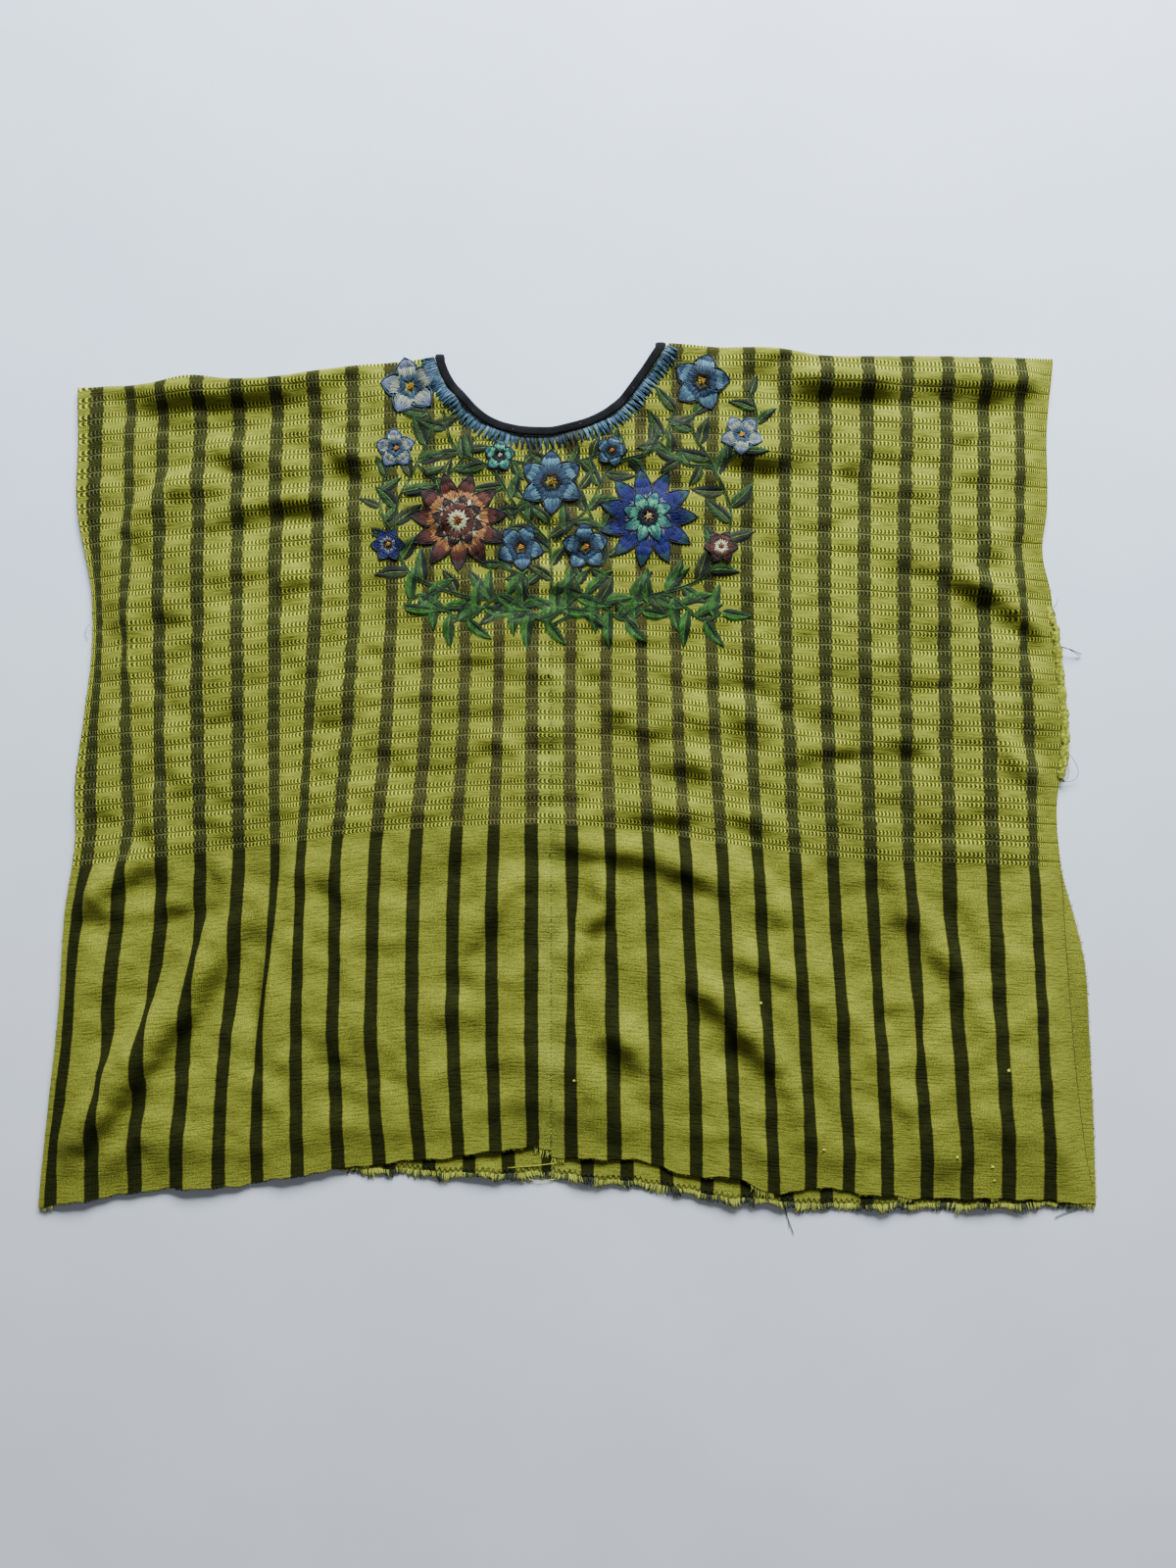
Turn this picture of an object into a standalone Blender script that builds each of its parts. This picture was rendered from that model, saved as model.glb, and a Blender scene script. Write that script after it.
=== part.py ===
# A huipil blouse laid flat. Two striped loom widths are folded over the shoulders and sewn
# together at the centre, and a black band binds the neck. The sides lie edge to edge.
# Metres, +Z up, +Y towards the neck, with the surface that it lies on at z = 0.

from collections import namedtuple

import bmesh
import bpy
import numpy as np

MM = 0.001

# Driving dimensions
CLOTH = 2.0 * MM  # wall of the woven cloth
LAYER_GAP = 0.6 * MM  # between the back layer and the front one that lies on it
SEAM_GAP = 0.3 * MM  # between pieces that are sewn together
SEAM_X = -12.5 * MM  # centre seam
BAND_WIDTH = 6.5 * MM
BAND_THICK = 2.4 * MM
BAND_LEAN = 14 * MM  # from this far off, the band leans to run level into its shoulder turn
BAND_TRIM = (0.17, 0.13)  # where the turn starts, in rows of NECK_CUT from each end
BODY_LIFT = 2.2 * MM  # how far the front stands off the back away from its edges
EDGE_EASE = 34 * MM  # over this distance the front comes down to the side and hem
FOLD_REACH = 3.2 * MM  # how far the cloth runs past the flat before it turns at the shoulder
CUT_MARGIN = 30 * MM  # the neck cutter runs this far past the shoulder fold

# Mesh divisions of a panel: across it, down its front, round its fold, and down its back
COLUMNS, FRONT_ROWS, BEND_ROWS, BACK_ROWS = 27, 46, 5, 22
BAND_STATIONS = 26  # along one half of the neck band

# Outlines, in millimetres. Each is read as a smooth curve through its rows.
Side = namedtuple("Side", "y x")
Level = namedtuple("Level", "x y")

LEFT_SIDE = [
    Side(310, -378.5), Side(268, -378), Side(211, -379), Side(142, -367.5), Side(108, -367),
    Side(40, -374.5), Side(-6, -380.5), Side(-44, -380), Side(-105, -388.5), Side(-177, -393),
    Side(-257, -401.5), Side(-336, -409.5),
]
RIGHT_SIDE_FRONT = [
    Side(330, 376), Side(268, 370.5), Side(207, 370.5), Side(176, 367), Side(142, 374),
    Side(108, 376.5), Side(40, 385), Side(-29, 378), Side(-67, 381), Side(-137, 385.5),
    Side(-257, 396), Side(-304, 402.5), Side(-334, 409.5),
]
RIGHT_SIDE_BACK = [
    Side(330, 375.5), Side(268, 370), Side(207, 370), Side(176, 366.5), Side(142, 373.5),
    Side(108, 376), Side(40, 384.5), Side(-29, 378), Side(-74, 384), Side(-120, 394),
    Side(-188, 402), Side(-249, 405), Side(-335, 409.6),
]
LEFT_SHOULDER = [
    Level(-385, 300), Level(-318, 302.5), Level(-296, 307), Level(-250, 305), Level(-204, 309.5),
    Level(-159, 316.5), Level(-113, 321.5), Level(-100, 324), Level(-10, 328),
]
RIGHT_SHOULDER = [
    Level(-15, 328), Level(78, 333), Level(115, 330.5), Level(160, 329), Level(206, 323.5),
    Level(252, 324), Level(320, 322.5), Level(385, 322.5),
]
LEFT_FRONT_HEM = [
    Level(-410, -334), Level(-368, -326.5), Level(-308, -318.5), Level(-263, -317), Level(-209, -308),
    Level(-154, -300), Level(-92, -294), Level(-49, -288), Level(-28, -286.5), Level(-10, -289.5),
]
RIGHT_FRONT_HEM = [
    Level(-15, -294), Level(24, -295), Level(63, -298), Level(94, -308.5), Level(131, -309.5),
    Level(154, -321), Level(189, -317.5), Level(229, -322), Level(272, -325.5), Level(342, -325.5),
    Level(412, -331),
]
LEFT_BACK_HEM = [
    Level(-410, -331), Level(-368, -324), Level(-308, -316), Level(-182, -303.5), Level(-154, -305.5),
    Level(-111, -308), Level(-47, -309.5), Level(-10, -309),
]
RIGHT_BACK_HEM = [
    Level(-15, -309), Level(18, -313), Level(71, -319), Level(122, -327.5), Level(160, -330.5),
    Level(193, -333.5), Level(241, -333.5), Level(327, -333), Level(412, -331),
]
NECK_CUT = [
    Level(-103, 324), Level(-96, 306), Level(-86.5, 292.5), Level(-63, 270.5), Level(-30, 261.5),
    Level(9, 266), Level(38.5, 280.5), Level(61, 307.5), Level(78, 332.5),
]

# The front's largest folds, in millimetres. A crest runs from start to end, bowed to the left
# of its way by bow at the middle. Height is at the middle, and a negative one is a trough.
Fold = namedtuple("Fold", "start_x start_y end_x end_y bow width height")
FOLDS = [
    Fold(-250, -84, -388, -272, -8, 15, 9.5),  # the long diagonal at the lower left
    Fold(-370, -84, -322, -66, 3, 9, 6),
    Fold(-388, -103, -276, -98, 2, 9, 4),
    Fold(-268, 132, -335, -35, -16, 10, -4),  # trough down the left side
    Fold(-326, 196, -204, 236, 18, 15, 5),
    Fold(-273, 188, -204, 203, 3, 9, -3),
    Fold(-318, 303, -212, 309, 0, 13, 6),  # puffs along the left shoulder
    Fold(-212, 309, -160, 316, 0, 12, 5),
    Fold(-322, 281, -218, 283, 0, 9, -4),
    Fold(132, 330, 192, 327, 0, 12, 6),  # and along the right one
    Fold(165, 307, 374, 310, 3, 12, 5),
    Fold(165, 286, 374, 289, 2, 9, -4),
    Fold(-103, 318, -108, 300, 0, 13, 3.5),  # at the neck's two corners
    Fold(79, 328, 70, 308, 0, 13, 4),
    Fold(-3, -34, 160, -42, 14, 11, 5.5),  # arches that start at the centre seam
    Fold(3, -55, 124, -88, 12, 10, 5.5),
    Fold(130, -138, 216, -206, 10, 11, 6),
    Fold(90, -153, 192, -272, 9, 10, 6),
    Fold(14, -206, 67, -220, 12, 12, 5),
    Fold(-3, 41, 153, 38, 1, 11, 3.2),
    Fold(168, 16, 274, 26, -2, 9, 3),
    Fold(258, 166, 378, 107, 9, 12, 5),
    Fold(244, -72, 284, -137, 3, 10, 4.5),
    Fold(290, -135, 326, -198, 3, 10, 4),
    Fold(374, -232, 388, -312, 0, 8, 3.5),
    Fold(-7, -33, -176, -87, -6, 10, 4),
    Fold(-44, -82, -76, -137, -3, 9, 4),
    Fold(-232, -110, -222, -214, -2, 9, 4.5),
    Fold(2, -130, 1, -206, 0, 8, 2.5),
]

Panel = namedtuple("Panel", "side shoulder front_side front_hem back_side back_hem")
PANELS = {
    "panel_left": Panel(-1, LEFT_SHOULDER, LEFT_SIDE, LEFT_FRONT_HEM, LEFT_SIDE, LEFT_BACK_HEM),
    "panel_right": Panel(
        1, RIGHT_SHOULDER, RIGHT_SIDE_FRONT, RIGHT_FRONT_HEM, RIGHT_SIDE_BACK, RIGHT_BACK_HEM
    ),
}


def clear_scene():
    for obj in list(bpy.data.objects):
        bpy.data.objects.remove(obj, do_unlink=True)


def collection_named(name):
    made = bpy.data.collections.new(name)
    bpy.context.scene.collection.children.link(made)
    return made


def material(name, colour, roughness):
    made = bpy.data.materials.new(name)
    made.use_nodes = True
    shader = made.node_tree.nodes["Principled BSDF"]
    shader.inputs["Base Color"].default_value = (*colour, 1)
    shader.inputs["Roughness"].default_value = roughness
    shader.inputs["Metallic"].default_value = 0
    return made


def smooth_curve(rows, at):
    """A cubic curve through rows of (key, value) in millimetres, read at keys in metres."""
    keys, values = np.array(sorted(tuple(row) for row in rows)).T * MM
    slopes = np.gradient(values, keys)
    at = np.clip(at, keys[0], keys[-1])
    i = np.clip(np.searchsorted(keys, at) - 1, 0, len(keys) - 2)
    step = keys[i + 1] - keys[i]
    t = (at - keys[i]) / step
    start = (1 + 2 * t) * (1 - t) ** 2 * values[i] + t * (1 - t) ** 2 * step * slopes[i]
    end = t * t * (3 - 2 * t) * values[i + 1] + t * t * (t - 1) * step * slopes[i + 1]
    return start + end


def ease(t):
    t = np.clip(t, 0, 1)
    return t * t * (3 - 2 * t)


def fold_heights(fold, x, y):
    """How much one fold lifts the front at x, y: a soft ridge along a bowed line."""
    start = np.array([fold.start_x, fold.start_y]) * MM
    end = np.array([fold.end_x, fold.end_y]) * MM
    way = end - start
    left = np.array([-way[1], way[0]]) / np.hypot(*way)
    middle = (start + end) / 2 + 2 * fold.bow * MM * left
    t = np.linspace(0, 1, 13)[:, None]
    line = (1 - t) ** 2 * start + 2 * t * (1 - t) * middle + t * t * end
    nearest = np.full(np.shape(x), np.inf)
    along = np.zeros(np.shape(x))
    for i, (a, b) in enumerate(zip(line[:-1], line[1:])):
        run = b - a
        part = np.clip(((x - a[0]) * run[0] + (y - a[1]) * run[1]) / (run @ run), 0, 1)
        away = np.hypot(x - a[0] - part * run[0], y - a[1] - part * run[1])
        closer = away < nearest
        nearest = np.where(closer, away, nearest)
        along = np.where(closer, (i + part) / 12, along)
    taper = 0.35 + 0.65 * np.sin(np.pi * along)
    return fold.height * MM * taper * np.exp(-((nearest / (fold.width * MM)) ** 2))


def lift(panel, x, y):
    """Height of the front layer above where it would touch the back."""
    raised = BODY_LIFT + sum(fold_heights(fold, x, y) for fold in FOLDS)
    inside = ease(abs(x - smooth_curve(panel.front_side, y)) / EDGE_EASE)
    above_hem = ease((y - smooth_curve(panel.front_hem, x)) / EDGE_EASE)
    return np.maximum(raised, 0) * inside * (0.25 + 0.75 * above_hem)


def plan_points(panel, side, hem, across, down):
    """Where the cloth lies in plan, from the seam outwards and from the shoulder down."""
    x = SEAM_X + across * panel.side * 0.39
    y = np.zeros_like(x)
    for _ in range(4):
        top = smooth_curve(panel.shoulder, x)
        y = top + down * (smooth_curve(hem, x) - top)
        inner = SEAM_X + panel.side * SEAM_GAP / 2
        x = inner + across * (smooth_curve(side, y) - inner)
    return x, y


def grid_mesh(name, points):
    """A grid of quads whose corner in row r and column c is points[r, c]."""
    rows, columns = points.shape[:2]
    grid = bmesh.new()
    bmesh.ops.create_grid(grid, x_segments=columns - 1, y_segments=rows - 1, size=1)
    for vertex in grid.verts:
        column = round((vertex.co.x + 1) / 2 * (columns - 1))
        row = round((vertex.co.y + 1) / 2 * (rows - 1))
        vertex.co = points[row, column]
    mesh = bpy.data.meshes.new(name)
    grid.to_mesh(mesh)
    grid.free()
    return mesh


def shoulder_turn(x, y, high, low, reach):
    """Rows of points that turn from the front down to the back, like half an ellipse."""
    for angle in np.linspace(0, np.pi, BEND_ROWS + 2)[1:-1]:
        z = (high + low) / 2 + (high - low) / 2 * np.cos(angle)
        yield np.stack([x, y - reach + reach * np.sin(angle), z], axis=-1)


def panel_points(panel):
    """Mid-surface of a panel, from the front hem over the shoulder to the back hem."""
    across = np.linspace(0, 1, COLUMNS + 1)
    back_z = CLOTH / 2
    front_z = CLOTH * 1.5 + LAYER_GAP
    rows = []
    for down in np.linspace(1, 0, FRONT_ROWS + 1):
        x, y = plan_points(panel, panel.front_side, panel.front_hem, across, np.full(len(across), down))
        y = y - FOLD_REACH * (1 - down)
        rows.append(np.stack([x, y, front_z + lift(panel, x, y)], axis=-1))
    x, y, high = rows[-1].T
    rows += shoulder_turn(x, y + FOLD_REACH, high, back_z, FOLD_REACH)
    for down in np.linspace(0, 1, BACK_ROWS + 1):
        x, y = plan_points(panel, panel.back_side, panel.back_hem, across, np.full(len(across), down))
        y = y - FOLD_REACH * (1 - down)
        rows.append(np.stack([x, y, np.full(len(x), back_z)], axis=-1))
    return np.array(rows)


def neck_line(count, trimmed=(0, 0)):
    """Points along the neck cut, from the left shoulder down and up to the right one.
    trimmed is how many of the table's rows are left out at each end."""
    keys = np.arange(len(NECK_CUT)) / MM
    at = np.linspace(trimmed[0], len(NECK_CUT) - 1 - trimmed[1], count)
    x = smooth_curve([(key, row.x) for key, row in zip(keys, NECK_CUT)], at)
    y = smooth_curve([(key, row.y) for key, row in zip(keys, NECK_CUT)], at)
    return np.stack([x, y], axis=-1)


def unit(vectors):
    return vectors / np.linalg.norm(vectors, axis=-1, keepdims=True)


def neck_cutter():
    line = neck_line(33)
    first = line[0] + CUT_MARGIN * unit(line[0] - line[1])
    last = line[-1] + CUT_MARGIN * unit(line[-1] - line[-2])
    outline = bpy.data.curves.new("neck_cutter", "CURVE")
    outline.dimensions = "2D"
    outline.fill_mode = "BOTH"
    outline.extrude = CUT_MARGIN
    spline = outline.splines.new("POLY")
    points = [first, *line, last]
    spline.points.add(len(points) - 1)
    for point, (x, y) in zip(spline.points, points):
        point.co = (x, y, 0, 1)
    spline.use_cyclic_u = True
    drawn = bpy.data.objects.new("neck_outline", outline)
    cutters.objects.link(drawn)
    bpy.context.view_layer.update()
    graph = bpy.context.evaluated_depsgraph_get()
    mesh = bpy.data.meshes.new_from_object(drawn.evaluated_get(graph))
    bpy.data.objects.remove(drawn, do_unlink=True)
    welded = bmesh.new()
    welded.from_mesh(mesh)
    bmesh.ops.remove_doubles(welded, verts=welded.verts, dist=1e-6)
    bmesh.ops.recalc_face_normals(welded, faces=welded.faces)
    welded.to_mesh(mesh)
    welded.free()
    cutter = bpy.data.objects.new("neck_cutter", mesh)
    cutter.hide_render = True
    cutter.display_type = "WIRE"
    cutters.objects.link(cutter)
    return cutter


def give_thickness(obj, thickness):
    wall = obj.modifiers.new("wall", "SOLIDIFY")
    wall.thickness = thickness
    wall.offset = 0
    wall.use_even_offset = True


def build_panel(name, panel, cutter, finish):
    mesh = grid_mesh(name, panel_points(panel))
    if panel.side < 0:
        mesh.flip_normals()
    mesh.materials.append(finish)
    mesh.shade_smooth()
    obj = bpy.data.objects.new(name, mesh)
    blouse.objects.link(obj)
    give_thickness(obj, CLOTH)
    cut = obj.modifiers.new("neck", "BOOLEAN")
    cut.operation = "DIFFERENCE"
    cut.object = cutter
    return obj


def band_points():
    """The neck band's mid-surface: a ribbon that follows the cut down the front and the back.
    Its ends lean over until they are level, and turn at the shoulder with the cloth."""
    line = neck_line(BAND_STATIONS, BAND_TRIM)
    way = unit(np.gradient(line, axis=0))
    inward = np.stack([-way[:, 1], way[:, 0]], axis=-1)
    level = np.zeros_like(inward)
    level[:, 0] = np.sign(inward[:, 0]) / np.maximum(abs(inward[:, 0]), 0.3)
    to_end = np.minimum(*[np.linalg.norm(line - line[end], axis=1) for end in (0, -1)])
    leaning = ease(1 - to_end / BAND_LEAN)[:, None]
    side = (inward * (1 - leaning) + level * leaning) * BAND_WIDTH
    outer = line + inward * SEAM_GAP
    middle = outer + side / 2
    panels = list(PANELS.values())
    high = np.array([lift(panels[int(x > SEAM_X)], x, y) for x, y in middle])
    high += BAND_THICK * 1.5 + SEAM_GAP
    low = np.full(BAND_STATIONS, BAND_THICK / 2)
    rows = []
    for part in np.linspace(0, 1, 4):
        x, y = (outer + side * part).T
        front = np.stack([x, y, high], axis=-1)
        back = np.stack([x, y, low], axis=-1)
        turns = [
            list(shoulder_turn(x[end], y[end] + FOLD_REACH, high[end], low[end], FOLD_REACH))
            for end in (0, -1)
        ]
        rows.append([*front, *turns[1], *back[::-1], *turns[0][::-1], front[0]])
    return np.array(rows)


def build_band(finish):
    mesh = grid_mesh("neck_band", band_points())
    ring = bmesh.new()
    ring.from_mesh(mesh)
    bmesh.ops.remove_doubles(ring, verts=ring.verts, dist=1e-6)
    bmesh.ops.recalc_face_normals(ring, faces=ring.faces)
    ring.to_mesh(mesh)
    ring.free()
    mesh.materials.append(finish)
    mesh.shade_smooth()
    obj = bpy.data.objects.new("neck_band", mesh)
    blouse.objects.link(obj)
    give_thickness(obj, BAND_THICK)
    rounded = obj.modifiers.new("rounded", "BEVEL")
    rounded.width = 0.6 * MM
    rounded.segments = 2
    rounded.limit_method = "ANGLE"
    rounded.angle_limit = np.radians(50)
    return obj


clear_scene()
blouse = collection_named("huipil_blouse")
cutters = collection_named("cutters")
striped_cotton = material("striped_cotton", (0.36, 0.37, 0.07), 0.9)
black_velvet = material("black_velvet", (0.004, 0.004, 0.005), 0.95)

neck = neck_cutter()
for panel_name, shape in PANELS.items():
    build_panel(panel_name, shape, neck, striped_cotton)
build_band(black_velvet)
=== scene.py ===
from functools import partial

import bmesh
import bpy
import numpy as np
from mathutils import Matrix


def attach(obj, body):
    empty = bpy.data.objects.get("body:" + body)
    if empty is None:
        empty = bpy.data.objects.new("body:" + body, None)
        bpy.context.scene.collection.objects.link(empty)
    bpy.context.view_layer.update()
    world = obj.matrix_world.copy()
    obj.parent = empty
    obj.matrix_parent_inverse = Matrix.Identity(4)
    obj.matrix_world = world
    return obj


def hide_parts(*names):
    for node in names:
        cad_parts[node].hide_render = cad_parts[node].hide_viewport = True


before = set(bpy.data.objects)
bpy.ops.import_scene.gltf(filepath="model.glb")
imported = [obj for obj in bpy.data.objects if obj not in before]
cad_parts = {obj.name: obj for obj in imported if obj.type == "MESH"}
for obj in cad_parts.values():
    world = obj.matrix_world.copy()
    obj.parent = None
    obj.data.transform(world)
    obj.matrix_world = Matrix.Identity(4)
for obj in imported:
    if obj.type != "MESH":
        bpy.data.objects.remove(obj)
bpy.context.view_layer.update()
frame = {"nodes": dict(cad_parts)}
mm = 0.001
rng = np.random.default_rng(11)
print("frame loaded:", ", ".join(frame["nodes"]))

# The cut and lie of the blouse, in millimetres. A side's rows are (y, x), all others (x, y).
outline = {
    "leftSide": [
        (310, -378.5), (268, -378), (211, -379), (142, -367.5), (108, -367), (40, -374.5),
        (-6, -380.5), (-44, -380), (-105, -388.5), (-177, -393), (-257, -401.5), (-336, -409.5),
    ],
    "rightSide": [
        (330, 376), (268, 370.5), (207, 370.5), (176, 367), (142, 374), (108, 376.5), (40, 385),
        (-29, 378), (-67, 381), (-137, 385.5), (-257, 396), (-304, 402.5), (-334, 409.5),
    ],
    "rightSideBack": [
        (330, 375.5), (268, 370), (207, 370), (176, 366.5), (142, 373.5), (108, 376), (40, 384.5),
        (-29, 378), (-74, 383), (-104, 391.5), (-139, 400), (-195, 404), (-258, 407), (-335, 409.6),
    ],
    "leftShoulder": [
        (-385, 300), (-318, 302.5), (-296, 307), (-250, 305), (-204, 309.5), (-159, 316.5),
        (-113, 321.5), (-100, 324), (-10, 328),
    ],
    "rightShoulder": [
        (-15, 328), (78, 333), (115, 330.5), (160, 329), (206, 323.5), (252, 324), (320, 322.5),
        (385, 322.5),
    ],
    "leftHem": [
        (-410, -334), (-368, -326.5), (-308, -318.5), (-263, -317), (-209, -308), (-154, -300),
        (-92, -294), (-49, -288), (-28, -286.5), (-10, -289.5),
    ],
    "rightHem": [
        (-15, -294), (24, -295), (63, -298), (94, -308.5), (131, -309.5), (154, -321),
        (189, -317.5), (229, -322), (272, -325.5), (342, -325.5), (412, -331),
    ],
    "leftBackHem": [
        (-410, -331), (-368, -324), (-308, -316), (-182, -303.5), (-154, -305.5), (-111, -308),
        (-47, -309.5), (-10, -309),
    ],
    "rightBackHem": [
        (-15, -309), (18, -313), (71, -319), (122, -327.5), (160, -330.5), (193, -333.5),
        (241, -333.5), (327, -333), (412, -331),
    ],
    "neckCut": [
        (-103, 324), (-96, 306), (-86.5, 292.5), (-63, 270.5), (-30, 261.5), (9, 266),
        (38.5, 280.5), (61, 307.5), (78, 332.5),
    ],
    "brocadeEdge": [  # where the brocaded upper part ends
        (-381, -70), (-309, -62), (-220, -52), (-162, -44), (-90, -39), (-16, -37), (62, -43),
        (148, -56), (238, -65), (322, -68), (380, -71),
    ],
    "weftTop": [(-385, 299), (-110, 320), (0, 326), (80, 331), (385, 322)],
}

# Where the dark stripes run: which of them, counted from the seam, and rows of (y, x of each)
stripeRuns = {
    "left": {
        "stripes": (1, 3, 5, 7, 8, 9, 11, 13),
        "rows": [
            (280, -26, -77, -136, -194, -224, -253, -312, -360),
            (160, -26, -78, -135, -192, -225, -254, -315, -364),
            (40, -28, -79, -139, -199, -226, -253, -315, -364),
            (-80, -28, -87, -149, -207, -224, -253, -312, -372),
            (-120, -28, -88, -150, -208, -227, -255, -314, -380),
            (-200, -28, -88, -151, -209, -236, -262, -326, -387),
            (-300, -27, -83, -145, -208, -240, -269, -334, -400),
        ],
    },
    "right": {
        "stripes": (1, 3, 5, 7, 9, 11, 13),
        "rows": [
            (280, 4, 56, 112, 167, 231, 292, 350),
            (160, 4, 57, 109, 167, 228, 290, 350),
            (40, 2, 58, 113, 170, 230, 291, 356),
            (-80, 4, 64, 120, 176, 234, 294, 362),
            (-200, 2, 68, 126, 183, 241, 301, 368),
            (-300, 3, 70, 130, 188, 247, 308, 373),
        ],
    },
}

# Where a crease hides part of a stripe: (stripe, middle y, reach, share of its width that shows)
pinches = {
    "left": [
        (12, -240, 34, 0.5), (12, -75, 14, 0.7), (11, -181, 26, 0.5), (10, -147, 24, 0.45),
        (8, -165, 54, 0.4), (6, -62, 20, 0.75), (12, 98, 26, 0.45), (7, 14, 36, 0.6),
        (13, -316, 40, 1.35),
    ],
    "right": [
        (1, -150, 48, 0.42), (2, -95, 34, 0.68), (10, -200, 26, 0.5),
        (9, -160, 30, 0.72), (6, -228, 24, 0.75), (13, 118, 15, 0.5),
    ],
}

cloth = {
    "wall": 1.3,
    "backMid": 0.65,
    "frontRest": 2.2,  # the front's middle where it lies on the back
    "bodyLift": 5.2,
    "swell": 21.0,  # folds broader than this are let out
    "ridgeGain": 1.25,
    "troughGain": 0.75,
    "creaseSoft": 1.12,  # how much wider the finer creases are than charted
    "edgeEase": 24.0,  # how far from the sides the front starts to come down
    "hemEase": 38.0,
    "backShift": 12.0,  # how far the back's stripes lie to the right of the front's at the hem
    "turnReach": 3.2,
    "seamX": -12.5,
    "seamGap": 0.3,
    "spacing": 2.9,  # of the mesh
    "frontLength": 640,  # a little over the front's own, to space its rows
    "turnRows": 7,
    "backRows": 30,
    "smoothOver": 3,  # mesh columns on each side that even out the stripes' spacing
    "pinchReach": 6,
    "sharpAngle": 50,
    "stripePitch": 31.0,
    "stripeWidth": 10.3,
    "firstStripe": {"left": 14.0, "right": 16.0},  # from the seam to the first stripe's middle
    "brocadeLength": 384.0,
    "bandPitch": 14.1,  # from one brocaded band to the next
    "dotPitch": 3.0,
}

# Folds of the front: (start x, start y, end x, end y, bow to the left, width, height)
folds = [
    (-246, -98, -380, -284, 0, 16, 15),
    (-378, -98, -318, -64, 2, 10, 6),
    (-388, -107, -276, -102, 2, 9, 2.8),
    (-268, 132, -335, -35, -16, 10, -4),
    (-326, 196, -204, 236, 18, 15, 5),
    (-273, 188, -204, 203, 3, 9, -3),
    (-318, 303, -212, 309, 0, 13, 6),
    (-212, 309, -160, 316, 0, 12, 5),
    (-322, 281, -218, 283, 0, 9, -4),
    (132, 330, 192, 327, 0, 12, 6),
    (165, 307, 374, 310, 3, 12, 5),
    (165, 286, 374, 289, 2, 9, -3),
    (-103, 318, -108, 300, 0, 13, 3.5),
    (79, 328, 70, 308, 0, 13, 4),
    (-3, -34, 160, -42, 14, 11, 5.5),
    (3, -55, 124, -88, 12, 11, 4.5),
    (130, -138, 216, -206, 10, 12, 5),
    (90, -153, 192, -272, 9, 11, 5),
    (14, -206, 67, -220, 12, 12, 4),
    (-3, 41, 153, 38, 1, 11, 3.2),
    (168, 16, 274, 26, -2, 9, 1.8),
    (258, 166, 378, 107, 9, 12, 5),
    (244, -72, 284, -137, 3, 10, 4.5),
    (290, -135, 326, -198, 3, 10, 4),
    (374, -232, 388, -312, 0, 8, 3.5),
    (-7, -33, -176, -87, -6, 10, 1.6),
    (-44, -82, -76, -137, -3, 9, 4),
    (-232, -110, -222, -214, -2, 9, 4.5),
    (2, -130, 1, -206, 0, 8, 2.5),
]
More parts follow.
